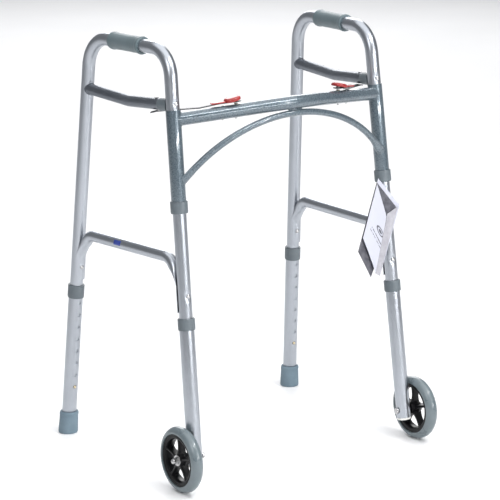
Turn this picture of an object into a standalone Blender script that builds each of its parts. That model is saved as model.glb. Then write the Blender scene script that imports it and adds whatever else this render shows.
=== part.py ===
"""Folding walking frame with two front wheels, in metres, +Z up, +Y to the back, +X to the right.

The origin is on the floor, under the middle of the frame.  Each side frame lies in its own
leaning plane and folds about its front leg, inside the sleeves of the front brace.
"""

from math import cos, pi, radians, sin, sqrt

import bmesh
import bpy
from mathutils import Matrix, Vector

SIDES = {"left": -1.0, "right": 1.0}
GAP = 0.0003

# Planes of the side frames: |X| = SIDE_X + SIDE_X_PER_Y * Y + SIDE_X_PER_Z * Z
SIDE_X = 0.2625
SIDE_X_PER_Y = 0.0566
SIDE_X_PER_Z = -0.0302

# Bent tube of a side frame, on its centre line
FRONT_LEG_Y = -0.2003
FRONT_LEG_LEAN = 0.1366
REAR_LEG_Y = 0.2355
REAR_LEG_LEAN = -0.0813
RAIL_Z = 0.8197
RAIL_FALL = -0.0256
FRONT_BEND = 0.055
REAR_BEND = 0.065
TUBE_R = 0.0127
TUBE_WALL = 0.0012
TUBE_END = {"front": 0.096, "rear": 0.078}
TUBE_SIDES = 12
BRACE_SIDES = 10
ROUND_SIDES = 10
CUT_SIDES = 16
CUT_REACH = 0.018

# Hand grip
GRIP_R = 0.0162
GRIP_RIM_R = 0.0173
GRIP_Y = (-0.0055, 0.0925)
GRIP_RIM = 0.005
GRIP_STEP = 0.009

# Sleeves and bushings that hold the front legs
SLEEVE_R = 0.0143
SLEEVE_BORE = 0.0133
SLEEVE_Z = (0.5443, 0.7122)
BUSHING_R = 0.0165
BUSHING_Z = (0.5215, 0.5440)

# Crossbar, bowed forwards, and the arch under it
CROSSBAR_R = 0.0127
CROSSBAR_HALF = 0.2355
CROSSBAR_END = (-0.1056, 0.6940)
CROSSBAR_MIDDLE = (-0.1642, 0.7120)
CROSSBAR_BEND = 0.042
ARCH_R = 0.00635
ARCH_HALF = 0.2360
ARCH_END = (-0.1291, 0.5762)
ARCH_MIDDLE = (-0.1642, 0.6912)

# Side braces
BRACE_R = 0.0110
BRACE_WALL = 0.0010
UPPER_REAR = (0.1778, 0.7130)
UPPER_KINK = (0.0375, 0.7090)
UPPER_FRONT = (-0.1022, 0.7210)
UPPER_BEND = 0.09
UPPER_CUT_Z = (0.66, 0.78)
LOWER_Z = 0.4285
LOWER_FALL = -0.0357
LOWER_BEND = 0.034
LOWER_END_Z = {"front": 0.336, "rear": 0.327}
LOWER_RIVET_Z = {"front": 0.367, "rear": 0.353}
UPPER_RIVET_Z = 0.7235
RIVET_SHANK_R = 0.0022
RIVET_HOLE_R = 0.0026
LOWER_FLAT = 0.0062
LOWER_WIDE = 0.0132
SADDLE_R = 0.0199

# Leg extensions, their collars and their locking holes
EXTENSION_R = 0.0143
EXTENSION_BORE = 0.0130
EXTENSION_Z = {"front": (0.0490, 0.3230), "rear": (0.0088, 0.3110)}
COLLAR_R = 0.0165
COLLAR_Z = {"front": (0.3035, 0.3255), "rear": (0.2870, 0.3135)}
CLIP_Z = {"front": 0.1180, "rear": 0.1009}
HOLE_PITCH = 0.0254
HOLE_COUNT = 8
HOLE_R = 0.0039
BUTTON_R = 0.0032
BUTTON_PROUD = 0.0032

# Rear tip and front plug
TIP_Z = 0.046
TIP_BASE_R = 0.01975
TIP_TOP_R = 0.0185
PLUG_Z = 0.0445

# Wheels
WHEEL_R = 0.0635
WHEEL_X = 0.2795
WHEEL_Y = -0.1917
TYRE_SECTION_R = 0.0127
RIM_R = WHEEL_R - TYRE_SECTION_R
AXLE_R = 0.0031
AXLE_X = (0.2303, 0.3005)
AXLE_END_X = 0.3020
WHEEL_SIDES = 32
SPOKES = 5

# Latch on each half of the crossbar
BOLT_X = 0.1187
BOLT_R = 0.0022
STUD_X = 0.1440
STUD_R = 0.0018
PLATE_THICK = 0.0018
PLATE_LIFT = 0.0042
PIN_Y = -0.0510
PIN_R = 0.0024
PIN_CLEAR = 0.0016
PADDLE_HALF = (0.0157, 0.0120)
PADDLE_SLOPE = -0.078
PLATE_HALVES = [0.0045, 0.0060, 0.0056, 0.0048, 0.0058, 0.0050]


def clear_scene():
    for item in list(bpy.data.objects):
        bpy.data.objects.remove(item, do_unlink=True)


# ---------------------------------------------------------------- places on the frame


def side_point(s, y, z):
    """Point of the side frame's plane at Y and Z."""
    return Vector((s * (SIDE_X + SIDE_X_PER_Y * y + SIDE_X_PER_Z * z), y, z))


def side_normal(s):
    """Unit normal of the side frame's plane, pointing outwards."""
    return Vector((s, -SIDE_X_PER_Y, -SIDE_X_PER_Z)).normalized()


def leg_point(s, end, z):
    """Point of a leg's axis at height z."""
    if end == "front":
        return side_point(s, FRONT_LEG_Y + FRONT_LEG_LEAN * z, z)
    return side_point(s, REAR_LEG_Y + REAR_LEG_LEAN * z, z)


def leg_axis(s, end):
    """Unit vector up a leg."""
    return (leg_point(s, end, 1.0) - leg_point(s, end, 0.0)).normalized()


def leg_inward(s, end):
    """Unit vector in the side frame's plane, square to a leg, towards the other leg."""
    across = side_normal(s).cross(leg_axis(s, end)).normalized()
    wanted = 1.0 if end == "front" else -1.0
    return across if across.y * wanted > 0.0 else -across


def rail_point(s, y):
    """Point of the hand rail's centre line."""
    return side_point(s, y, RAIL_Z + RAIL_FALL * y)


def crossbar_point(x):
    """Crossbar centre line: two straight halves that a rounded bend joins, as a hyperbola."""
    reach = sqrt(CROSSBAR_HALF**2 + CROSSBAR_BEND**2) - CROSSBAR_BEND
    back = (sqrt(x * x + CROSSBAR_BEND**2) - CROSSBAR_BEND) / reach
    y = CROSSBAR_MIDDLE[0] + (CROSSBAR_END[0] - CROSSBAR_MIDDLE[0]) * back
    z = CROSSBAR_MIDDLE[1] + (CROSSBAR_END[1] - CROSSBAR_MIDDLE[1]) * back
    return Vector((x, y, z))


def crossbar_direction(s, x):
    """Level unit vector along the crossbar at |X| = x, away from the middle."""
    step = crossbar_point(s * (x + 0.001)) - crossbar_point(s * (x - 0.001))
    return Vector((step.x, step.y, 0.0)).normalized()


# ---------------------------------------------------------------- paths and meshes


def rounded_path(corners, radii, steps):
    """Polyline through the corners, with an arc of the given radius at each inner corner."""
    path = [corners[0]]
    for before, corner, after, radius in zip(corners, corners[1:], corners[2:], radii):
        back = (before - corner).normalized()
        ahead = (after - corner).normalized()
        half = back.angle(ahead) / 2.0
        centre = corner + (back + ahead).normalized() * (radius / sin(half))
        first = corner + back * (radius / (sin(half) / cos(half))) - centre
        last = corner + ahead * (radius / (sin(half) / cos(half))) - centre
        turn = pi - 2.0 * half
        for k in range(steps + 1):
            a = turn * k / steps
            path.append(centre + (first * sin(turn - a) + last * sin(a)) / sin(turn))
    path.append(corners[-1])
    return path


def section_rings(path, normal, widths, heights, sides):
    """One oval ring per path point: half width along the normal, half height across it."""
    rings = []
    count = len(path)
    for i, point in enumerate(path):
        tangent = (path[min(i + 1, count - 1)] - path[max(i - 1, 0)]).normalized()
        across = tangent.cross(normal).normalized()
        ring = []
        for k in range(sides):
            a = 2.0 * pi * k / sides
            ring.append(point + normal * (widths[i] * cos(a)) + across * (heights[i] * sin(a)))
        rings.append(ring)
    return rings


def skin(mesh, rings, closed_path=False):
    """Joins each ring of points to the next with quads and gives the rows of vertices."""
    rows = [[mesh.verts.new(point) for point in ring] for ring in rings]
    pairs = list(zip(rows, rows[1:]))
    if closed_path:
        pairs.append((rows[-1], rows[0]))
    for low, high in pairs:
        for k in range(len(low)):
            j = (k + 1) % len(low)
            mesh.faces.new((low[k], low[j], high[j], high[k]))
    return rows


def tube_mesh(path, normal, widths, heights, wall, sides):
    """Tube along a flat path with open ends, or a solid bar where the wall is 0."""
    mesh = bmesh.new()
    outer = section_rings(path, normal, widths, heights, sides)
    if wall > 0.0:
        inner = section_rings(path, normal, [w - wall for w in widths], [h - wall for h in heights], sides)
        skin(mesh, outer + inner[::-1], closed_path=True)
    else:
        rows = skin(mesh, outer)
        mesh.faces.new(rows[0])
        mesh.faces.new(rows[-1])
    return mesh


def turned_mesh(profile, foot, axis, start, sides):
    """Turns a closed outline of (radius, height) points about the axis through the foot."""
    mesh = bmesh.new()
    across = axis.cross(start).normalized()
    square = across.cross(axis).normalized()
    rows = []
    for radius, height in profile:
        centre = foot + axis * height
        if radius <= 0.0:
            rows.append([mesh.verts.new(centre)])
            continue
        turn = [2.0 * pi * k / sides for k in range(sides)]
        rows.append([mesh.verts.new(centre + (square * cos(a) + across * sin(a)) * radius) for a in turn])
    for low, high in zip(rows, rows[1:] + rows[:1]):
        if len(low) == 1 and len(high) == 1:
            continue
        for k in range(sides):
            j = (k + 1) % sides
            if len(low) == 1:
                mesh.faces.new((low[0], high[j], high[k]))
            elif len(high) == 1:
                mesh.faces.new((low[k], low[j], high[0]))
            else:
                mesh.faces.new((low[k], low[j], high[j], high[k]))
    return mesh


def prism_mesh(outline, depth):
    """Prism on a polygon of points, pushed out by the depth vector."""
    mesh = bmesh.new()
    rows = skin(mesh, [outline, [point + depth for point in outline]])
    mesh.faces.new(rows[0])
    mesh.faces.new(rows[1])
    return mesh


def ribbon_mesh(points, halves, thick):
    """Flat strip whose top follows the points, with its half width given at each of them."""
    rings = []
    count = len(points)
    for i, point in enumerate(points):
        run = points[min(i + 1, count - 1)] - points[max(i - 1, 0)]
        across = Vector((-run.y, run.x, 0.0)).normalized() * halves[i]
        down = Vector((0.0, 0.0, -thick))
        rings.append([point - across, point + across, point + across + down, point - across + down])
    mesh = bmesh.new()
    rows = skin(mesh, rings)
    mesh.faces.new(rows[0])
    mesh.faces.new(rows[-1])
    return mesh


def oval_mesh(centre, along, across, up, halves, levels):
    """Stack of rounded ovals: each level gives a height and a scale of the half sizes."""
    mesh = bmesh.new()
    rings = []
    for height, scale in levels:
        ring = []
        for k in range(16):
            a = 2.0 * pi * k / 16
            u = abs(cos(a)) ** 0.85 * (1.0 if cos(a) > 0.0 else -1.0)
            v = abs(sin(a)) ** 0.85 * (1.0 if sin(a) > 0.0 else -1.0)
            flat = along * (halves[0] * scale * u) + across * (halves[1] * scale * v)
            ring.append(centre + flat + up * height)
        rings.append(ring)
    rows = skin(mesh, rings)
    mesh.faces.new(rows[0])
    mesh.faces.new(rows[-1])
    return mesh


# ---------------------------------------------------------------- objects


class Body:
    """Pieces that move as one, held by an empty whose Z axis is the joint's axis."""

    def __init__(self, name, place, axis, parent=None):
        self.matrix = Matrix.Translation(place) @ axis.to_track_quat("Z", "Y").to_matrix().to_4x4()
        self.empty = bpy.data.objects.new(name, None)
        self.empty.empty_display_size = 0.03
        bpy.context.scene.collection.objects.link(self.empty)
        if parent:
            self.empty.parent = parent.empty
            self.empty.matrix_parent_inverse = parent.matrix.inverted()
        self.empty.matrix_basis = self.matrix

    def hold(self, piece):
        piece.parent = self.empty
        piece.matrix_parent_inverse = self.matrix.inverted()


def new_object(name, mesh):
    """Object of a mesh drawn in world coordinates, with all faces pointing out."""
    bmesh.ops.recalc_face_normals(mesh, faces=mesh.faces)
    data = bpy.data.meshes.new(name)
    mesh.to_mesh(data)
    mesh.free()
    data.shade_smooth()
    data.set_sharp_from_angle(angle=radians(40.0))
    piece = bpy.data.objects.new(name, data)
    bpy.context.scene.collection.objects.link(piece)
    return piece


def make_piece(name, mesh, body, finish):
    """Named sub-part with its own material, held by its body."""
    colour, roughness, metallic = finish
    piece = new_object(name, mesh)
    material = bpy.data.materials.new(name)
    material.use_nodes = True
    shader = material.node_tree.nodes["Principled BSDF"]
    shader.inputs["Base Color"].default_value = (*colour, 1.0)
    shader.inputs["Roughness"].default_value = roughness
    shader.inputs["Metallic"].default_value = metallic
    piece.data.materials.append(material)
    body.hold(piece)
    return piece


def combine(piece, mesh, operation):
    """Adds a Boolean on a hidden tool made from the mesh."""
    tool = new_object(f"tool_{piece.name}_{len(piece.modifiers)}", mesh)
    tool.hide_render = True
    tool.display_type = "WIRE"
    tool.parent = piece.parent
    tool.matrix_parent_inverse = piece.matrix_parent_inverse
    modifier = piece.modifiers.new(operation.title(), "BOOLEAN")
    modifier.operation = operation
    modifier.solver = "EXACT"
    modifier.object = tool


def rod_mesh(start, end, radius, sides=10):
    """Round rod between two points."""
    length = (end - start).length
    axis = (end - start).normalized()
    guide = Vector((0.0, 0.0, 1.0)) if abs(axis.z) < 0.9 else Vector((1.0, 0.0, 0.0))
    outline = [(0.0, 0.0), (radius, 0.0), (radius, length), (0.0, length)]
    return turned_mesh(outline, start, axis, guide, sides)


def cut_rod(piece, start, end, radius, sides=10):
    combine(piece, rod_mesh(start, end, radius, sides), "DIFFERENCE")


SILVER = ((0.48, 0.52, 0.58), 0.32, 1.0)
GREY_PAINT = ((0.13, 0.17, 0.20), 0.25, 0.3)
GREY_VINYL = ((0.12, 0.16, 0.18), 0.6, 0.0)
GREY_PLASTIC = ((0.14, 0.17, 0.19), 0.5, 0.0)
RUBBER = ((0.16, 0.24, 0.29), 0.7, 0.0)
TYRE_GREY = ((0.15, 0.20, 0.23), 0.45, 0.0)
BLACK = ((0.015, 0.017, 0.02), 0.45, 0.0)
RED = ((0.55, 0.02, 0.015), 0.35, 0.0)
STEEL = ((0.35, 0.36, 0.38), 0.35, 1.0)
BRASS = ((0.60, 0.45, 0.22), 0.3, 1.0)
WHITE = ((0.75, 0.75, 0.72), 0.5, 0.0)
CARD = ((0.52, 0.53, 0.60), 0.7, 0.0)


# ---------------------------------------------------------------- side frames


def side_tube(name, s, body):
    """Bent tube: front leg, hand rail and rear leg in one length, with its rivet and clip holes."""
    bend_front = side_corner(s, "front")
    bend_rear = side_corner(s, "rear")
    ends = [leg_point(s, "front", TUBE_END["front"]), leg_point(s, "rear", TUBE_END["rear"])]
    path = rounded_path([ends[0], bend_front, bend_rear, ends[1]], [FRONT_BEND, REAR_BEND], 5)
    radii = [TUBE_R] * len(path)
    mesh = tube_mesh(path, side_normal(s), radii, radii, TUBE_WALL, TUBE_SIDES)
    piece = make_piece(name, mesh, body, SILVER)
    for end in ("front", "rear"):
        foot = leg_point(s, end, CLIP_Z[end])
        inward = leg_inward(s, end)
        cut_rod(piece, foot + inward * 0.004, foot + inward * CUT_REACH, HOLE_R, 8)
        rivet = leg_point(s, end, LOWER_RIVET_Z[end])
        cut_rod(piece, rivet - inward * CUT_REACH, rivet + inward * CUT_REACH, RIVET_HOLE_R, 8)
    rivet = leg_point(s, "front", UPPER_RIVET_Z)
    cut_rod(piece, rivet - leg_inward(s, "front") * CUT_REACH, rivet, RIVET_HOLE_R, 8)


def side_corner(s, end):
    """Where a leg's axis meets the rail's centre line."""
    slope = FRONT_LEG_LEAN if end == "front" else REAR_LEG_LEAN
    foot_y = FRONT_LEG_Y if end == "front" else REAR_LEG_Y
    y = (foot_y + slope * RAIL_Z) / (1.0 - slope * RAIL_FALL)
    return rail_point(s, y)


def grip(name, s, body):
    """Soft sleeve on the rail with a raised rim at each end."""
    start = rail_point(s, GRIP_Y[0])
    axis = (rail_point(s, GRIP_Y[1]) - start).normalized()
    length = (rail_point(s, GRIP_Y[1]) - start).length
    bore = TUBE_R + GAP
    outline = [
        (bore, 0.0),
        (GRIP_RIM_R, 0.0),
        (GRIP_RIM_R, GRIP_RIM),
        (GRIP_R, GRIP_STEP),
        (GRIP_R, length - GRIP_STEP),
        (GRIP_RIM_R, length - GRIP_RIM),
        (GRIP_RIM_R, length),
        (bore, length),
    ]
    make_piece(name, turned_mesh(outline, start, axis, side_normal(s), TUBE_SIDES), body, GREY_VINYL)


def upper_brace(name, s, body):
    """Tube under the rail, kinked once, with mouths cut for the rear leg and the saddle."""
    corners = [side_point(s, *UPPER_REAR), side_point(s, *UPPER_KINK), side_point(s, *UPPER_FRONT)]
    path = rounded_path(corners, [UPPER_BEND], 3)
    radii = [BRACE_R] * len(path)
    mesh = tube_mesh(path, side_normal(s), radii, radii, BRACE_WALL, BRACE_SIDES)
    piece = make_piece(name, mesh, body, GREY_PAINT)
    combine(piece, leg_rod("rear", s, TUBE_R + GAP, TUBE_SIDES), "DIFFERENCE")
    combine(piece, leg_rod("front", s, SADDLE_R + GAP, CUT_SIDES), "DIFFERENCE")
    pin = pin_point(s)
    reach = Vector((0.0, 0.0, CUT_REACH))
    cut_rod(piece, pin - reach, pin + reach, PIN_R + GAP, 8)


def leg_rod(end, s, radius, sides):
    """Rod on a leg's axis, long enough to cut whatever meets the leg at the upper brace."""
    return rod_mesh(leg_point(s, end, UPPER_CUT_Z[0]), leg_point(s, end, UPPER_CUT_Z[1]), radius, sides)


def pin_point(s):
    """Point of the upper brace's centre line that the catch pin passes through."""
    along = (PIN_Y - UPPER_KINK[0]) / (UPPER_FRONT[0] - UPPER_KINK[0])
    return side_point(s, PIN_Y, UPPER_KINK[1] + (UPPER_FRONT[1] - UPPER_KINK[1]) * along)


def brace_saddle(name, s, body):
    """Spacer between the front leg and the end of the upper brace, hollowed for the leg."""
    start = side_point(s, *UPPER_FRONT)
    towards = (side_point(s, *UPPER_KINK) - start).normalized()
    radius = BRACE_R + 0.0009
    outline = [(0.0, 0.004), (radius, 0.004), (radius, 0.034), (0.0, 0.034)]
    mesh = turned_mesh(outline, start, towards, side_normal(s), ROUND_SIDES)
    piece = make_piece(name, mesh, body, GREY_PLASTIC)
    combine(piece, leg_rod("front", s, SADDLE_R, CUT_SIDES), "INTERSECT")
    combine(piece, leg_rod("front", s, TUBE_R + GAP, TUBE_SIDES), "DIFFERENCE")
    low = leg_point(s, "front", UPPER_CUT_Z[0])
    high = leg_point(s, "front", SLEEVE_Z[1] + 4.0 * GAP)
    cut_rod(piece, low, high, SLEEVE_R + 2.0 * GAP, CUT_SIDES)


def lower_brace_path(s):
    """Centre line: flat end beside the front leg, up, level across, and down to the rear leg."""
    flat_offset = TUBE_R + GAP + LOWER_FLAT
    round_offset = TUBE_R + 2.0 * GAP + BRACE_R
    flats = []
    corners = []
    for end in ("front", "rear"):
        inward = leg_inward(s, end)
        slope = FRONT_LEG_LEAN if end == "front" else REAR_LEG_LEAN
        low = leg_point(s, end, LOWER_END_Z[end]) + inward * flat_offset
        pressed = leg_point(s, end, LOWER_RIVET_Z[end] + 0.0045) + inward * flat_offset
        full = leg_point(s, end, LOWER_RIVET_Z[end] + 0.0200) + inward * round_offset
        rise = (LOWER_Z + LOWER_FALL * full.y - full.z) / (1.0 - slope * LOWER_FALL)
        flats.append([low, pressed])
        corners.append([full, side_point(s, full.y + slope * rise, full.z + rise)])
    level = rounded_path(corners[0] + corners[1][::-1], [LOWER_BEND, LOWER_BEND], 4)
    return flats[0] + level + flats[1][::-1]


def lower_brace(name, s, body):
    """Tube whose turned-down ends are pressed flat against the legs."""
    path = lower_brace_path(s)
    middle = len(path) - 4
    widths = [LOWER_WIDE] * 2 + [BRACE_R] * middle + [LOWER_WIDE] * 2
    heights = [LOWER_FLAT] * 2 + [BRACE_R] * middle + [LOWER_FLAT] * 2
    mesh = tube_mesh(path, side_normal(s), widths, heights, BRACE_WALL, BRACE_SIDES)
    piece = make_piece(name, mesh, body, SILVER)
    for end in ("front", "rear"):
        rivet = leg_point(s, end, LOWER_RIVET_Z[end])
        inward = leg_inward(s, end)
        cut_rod(piece, rivet + inward * TUBE_R, rivet + inward * 0.032, RIVET_HOLE_R, 8)


def rivet_piece(name, start, axis, length, body, tail):
    """Domed head at the start, a shank, and a pressed tail where the rivet goes right through."""
    outline = [(0.0, -0.0026), (0.0026, -0.0022), (0.0042, -0.0006), (0.0042, 0.0)]
    outline += [(RIVET_SHANK_R, 0.0), (RIVET_SHANK_R, length)]
    if tail:
        outline += [(0.0034, length), (0.0030, length + 0.0014), (0.0, length + 0.0018)]
    else:
        outline.append((0.0, length))
    make_piece(name, turned_mesh(outline, start, axis, Vector((1.0, 0.0, 0.0)), 10), body, STEEL)


def rivets(side, s, body):
    """Upper leg rivet and the two rivets that go through the lower brace's flat ends."""
    back = leg_inward(s, "front")
    start = leg_point(s, "front", UPPER_RIVET_Z) - back * (TUBE_R + GAP)
    rivet_piece(f"leg_rivet_{side}", start, back, 0.006, body, tail=False)
    through = 2.0 * TUBE_R + 2.0 * LOWER_FLAT + 4.0 * GAP
    start = leg_point(s, "front", LOWER_RIVET_Z["front"]) - back * (TUBE_R + GAP)
    rivet_piece(f"front_brace_rivet_{side}", start, back, through, body, tail=True)
    back = -leg_inward(s, "rear")
    start = leg_point(s, "rear", LOWER_RIVET_Z["rear"]) - back * (TUBE_R + 2.0 * LOWER_FLAT + 2.0 * GAP)
    rivet_piece(f"rear_brace_rivet_{side}", start, back, through, body, tail=True)


def catch_pin(name, s, body):
    """Pin down through the upper brace that the latch plate's end catches."""
    centre = pin_point(s)
    top = BRACE_R + 0.0006
    low = plate_points(s)[-2].z + PIN_CLEAR - centre.z
    outline = [(0.0, low), (PIN_R, low), (PIN_R, top), (0.0042, top)]
    outline += [(0.0038, top + 0.0014), (0.0, top + 0.0022)]
    up = Vector((0.0, 0.0, 1.0))
    make_piece(name, turned_mesh(outline, centre, up, Vector((1.0, 0.0, 0.0)), 10), body, STEEL)


# ---------------------------------------------------------------- front brace


def crossbar(name, body):
    """Tube between the sleeves, with holes for the latch bolts and guide rivets."""
    steps = [CROSSBAR_HALF, 0.165, 0.105, 0.065, 0.038, 0.016]
    stations = [-x for x in steps] + [0.0] + steps[::-1]
    path = [crossbar_point(x) for x in stations]
    bow = crossbar_point(0.0) - crossbar_point(CROSSBAR_HALF)
    normal = Vector((0.0, -bow.z, bow.y)).normalized()
    radii = [CROSSBAR_R] * len(path)
    mesh = tube_mesh(path, normal, radii, radii, TUBE_WALL, TUBE_SIDES)
    piece = make_piece(name, mesh, body, GREY_PAINT)
    for s in SIDES.values():
        cut_rod(piece, leg_point(s, "front", 0.64), leg_point(s, "front", 0.75), SLEEVE_R + GAP, CUT_SIDES)
        for x, radius in ((BOLT_X, BOLT_R), (STUD_X, STUD_R)):
            centre = crossbar_point(s * x)
            reach = Vector((0.0, 0.0, CUT_REACH))
            cut_rod(piece, centre - reach, centre + reach, radius + GAP, 8)


def arch_brace(name, body):
    """Round arc from sleeve to sleeve, up to the middle of the crossbar."""
    low = Vector((0.0, *ARCH_END))
    rise = Vector((0.0, *ARCH_MIDDLE)) - low
    radius = (ARCH_HALF**2 + rise.length**2) / (2.0 * rise.length)
    reach = 1.04 * ARCH_HALF
    path = []
    for k in range(13):
        x = -reach + 2.0 * reach * k / 12
        height = sqrt(radius**2 - x * x) - radius + rise.length
        path.append(low + Vector((x, 0.0, 0.0)) + rise.normalized() * height)
    normal = Vector((0.0, -rise.z, rise.y)).normalized()
    radii = [ARCH_R] * len(path)
    mesh = tube_mesh(path, normal, radii, radii, TUBE_WALL, 8)
    piece = make_piece(name, mesh, body, GREY_PAINT)
    for s in SIDES.values():
        cut_rod(piece, leg_point(s, "front", 0.50), leg_point(s, "front", 0.66), SLEEVE_R + GAP, CUT_SIDES)
        beyond = leg_point(s, "front", 0.58) + Vector((s * 0.012, 0.0, 0.0))
        cut_rod(piece, beyond - Vector((0.0, 0.05, 0.0)), beyond + Vector((0.0, 0.05, 0.0)), 0.0118, 12)


def leg_turned(name, s, end, low, outline, body, finish):
    """Piece turned about a leg's axis, its outline's heights starting at Z = low."""
    foot = leg_point(s, end, low)
    mesh = turned_mesh(outline, foot, leg_axis(s, end), side_normal(s), TUBE_SIDES)
    return make_piece(name, mesh, body, finish)


def leg_length(s, end, levels):
    """Length along a leg between two levels."""
    return (leg_point(s, end, levels[1]) - leg_point(s, end, levels[0])).length


def sleeve(name, s, body):
    """Tube that the front leg turns in."""
    length = leg_length(s, "front", SLEEVE_Z)
    outline = [(SLEEVE_BORE, 0.0), (SLEEVE_R, 0.0), (SLEEVE_R, length), (SLEEVE_BORE, length)]
    leg_turned(name, s, "front", SLEEVE_Z[0], outline, body, GREY_PAINT)


def bushing(name, s, body):
    """Collar under the sleeve."""
    length = leg_length(s, "front", BUSHING_Z)
    edge = 0.0012
    outline = [
        (SLEEVE_BORE, 0.0),
        (BUSHING_R - edge, 0.0),
        (BUSHING_R, edge),
        (BUSHING_R, length - edge),
        (BUSHING_R - edge, length),
        (SLEEVE_BORE, length),
    ]
    leg_turned(name, s, "front", BUSHING_Z[0], outline, body, GREY_PLASTIC)


# ---------------------------------------------------------------- latches


def bolt_top(s):
    """Crest of the crossbar where the latch bolt stands."""
    return crossbar_point(s * BOLT_X) + Vector((0.0, 0.0, CROSSBAR_R))


def plate_points(s):
    """Top of the latch plate, from under the paddle to the ramp past the catch pin."""
    crest = bolt_top(s).z + PLATE_LIFT + PLATE_THICK
    pin = pin_point(s)
    return [
        Vector((s * 0.1100, -0.1400, crest + 0.0008)),
        bolt_top(s) + Vector((0.0, 0.0, PLATE_LIFT + PLATE_THICK)),
        Vector((s * 0.1480, -0.1290, 0.7205)),
        Vector((s * 0.1700, -0.0945, 0.7092)),
        Vector((pin.x, pin.y, 0.7040)),
        Vector((pin.x + s * 0.0085, pin.y + 0.0075, 0.7008)),
    ]


def latch_plate(name, s, body):
    """Steel strip from the bolt to the catch pin, holed for both."""
    points = plate_points(s)
    piece = make_piece(name, ribbon_mesh(points, PLATE_HALVES, PLATE_THICK), body, STEEL)
    reach = Vector((0.0, 0.0, 0.01))
    cut_rod(piece, points[1] - reach, points[1] + reach, BOLT_R + 2.0 * GAP, 10)
    cut_rod(piece, points[4] - reach, points[4] + reach, PIN_R + 2.0 * GAP, 10)


def paddle(name, s, body):
    """Push pad on the plate, hollowed for the bolt's head, with a thin tab along the crossbar."""
    along = crossbar_direction(s, BOLT_X)
    across = Vector((-along.y * s, along.x * s, 0.0))
    tilted = (along + Vector((0.0, 0.0, PADDLE_SLOPE))).normalized()
    up = tilted.cross(across) if s > 0.0 else across.cross(tilted)
    top = plate_points(s)[1]
    centre = top + tilted * 0.0070 + across * 0.0020
    levels = [(0.0007, 1.0), (0.0030, 1.0), (0.0050, 0.95), (0.0064, 0.82), (0.0072, 0.55)]
    piece = make_piece(name, oval_mesh(centre, tilted, across, up, PADDLE_HALF, levels), body, RED)
    corners = [(0.0100, -0.0050), (0.0405, -0.0050), (0.0430, -0.0030)]
    corners += [(u, -v) for u, v in reversed(corners)]
    outline = [centre + tilted * u + across * v + up * 0.0012 for u, v in corners]
    combine(piece, prism_mesh(outline, up * 0.0017), "UNION")
    cut_rod(piece, top - up * 0.004, top + up * 0.0054, 0.0045, 12)


def latch_bolt(name, s, body):
    """Bolt down through the crossbar; its head stops the plate."""
    foot = crossbar_point(s * BOLT_X)
    head = CROSSBAR_R + PLATE_LIFT + PLATE_THICK + 0.0006
    tail = -CROSSBAR_R - 0.0024
    crown = head + 0.0016
    outline = [(0.0, tail), (BOLT_R, tail), (BOLT_R, head), (0.0038, head), (0.0038, crown), (0.0, crown)]
    up = Vector((0.0, 0.0, 1.0))
    make_piece(name, turned_mesh(outline, foot, up, Vector((1.0, 0.0, 0.0)), 12), body, STEEL)


def guide_rivet(name, s, body):
    """Rivet through the crossbar beside the bolt."""
    foot = crossbar_point(s * STUD_X)
    top = CROSSBAR_R + 0.0006
    tail = -CROSSBAR_R - 0.0016
    outline = [(0.0, tail), (STUD_R, tail), (STUD_R, top), (0.0027, top)]
    outline += [(0.0024, top + 0.0005), (0.0, top + 0.0006)]
    up = Vector((0.0, 0.0, 1.0))
    make_piece(name, turned_mesh(outline, foot, up, Vector((1.0, 0.0, 0.0)), 10), body, STEEL)


def latch_spring(name, s, body):
    """Coil round the bolt that lifts the plate."""
    foot = bolt_top(s)
    wire = 0.0004
    coil = 0.0036
    low = GAP + wire
    high = PLATE_LIFT - GAP - wire - 0.0005
    turns = 2
    steps = 12 * turns
    mesh = bmesh.new()
    rings = []
    for k in range(steps + 1):
        a = 2.0 * pi * turns * k / steps
        out = Vector((cos(a), sin(a), 0.0))
        centre = foot + out * coil + Vector((0.0, 0.0, low + (high - low) * k / steps))
        ring = []
        for j in range(6):
            b = 2.0 * pi * j / 6
            ring.append(centre + out * (wire * cos(b)) + Vector((0.0, 0.0, wire * sin(b))))
        rings.append(ring)
    rows = skin(mesh, rings)
    mesh.faces.new(rows[0])
    mesh.faces.new(rows[-1])
    make_piece(name, mesh, body, STEEL)


# ---------------------------------------------------------------- leg extensions


def extension(name, s, end, body):
    """Outer leg tube with its row of locking holes, and axle holes on a front leg."""
    low, high = EXTENSION_Z[end]
    length = leg_length(s, end, (low, high))
    outline = [(EXTENSION_BORE, 0.0), (EXTENSION_R, 0.0), (EXTENSION_R, length), (EXTENSION_BORE, length)]
    piece = leg_turned(name, s, end, low, outline, body, SILVER)
    facing = leg_inward(s, end)
    for k in range(HOLE_COUNT):
        centre = leg_point(s, end, CLIP_Z[end]) + leg_axis(s, end) * (HOLE_PITCH * k)
        cut_rod(piece, centre + facing * 0.008, centre + facing * CUT_REACH, HOLE_R, 6)
    if end == "front":
        centre = Vector((s * WHEEL_X, WHEEL_Y, WHEEL_R))
        cut_rod(piece, centre - Vector((s * 0.055, 0.0, 0.0)), centre, AXLE_R + GAP, 12)


def collar(name, s, end, body):
    """Collar over the top of the extension with a lip down to the inner tube."""
    length = leg_length(s, end, COLLAR_Z[end])
    lip = length - (COLLAR_Z[end][1] - EXTENSION_Z[end][1]) + GAP
    edge = 0.0015
    outline = [
        (EXTENSION_R + GAP, 0.0),
        (COLLAR_R - edge, 0.0),
        (COLLAR_R, edge),
        (COLLAR_R, length - edge),
        (COLLAR_R - edge, length),
        (TUBE_R + GAP, length),
        (TUBE_R + GAP, lip),
        (EXTENSION_R + GAP, lip),
    ]
    leg_turned(name, s, end, COLLAR_Z[end][0], outline, body, GREY_PLASTIC)


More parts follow.
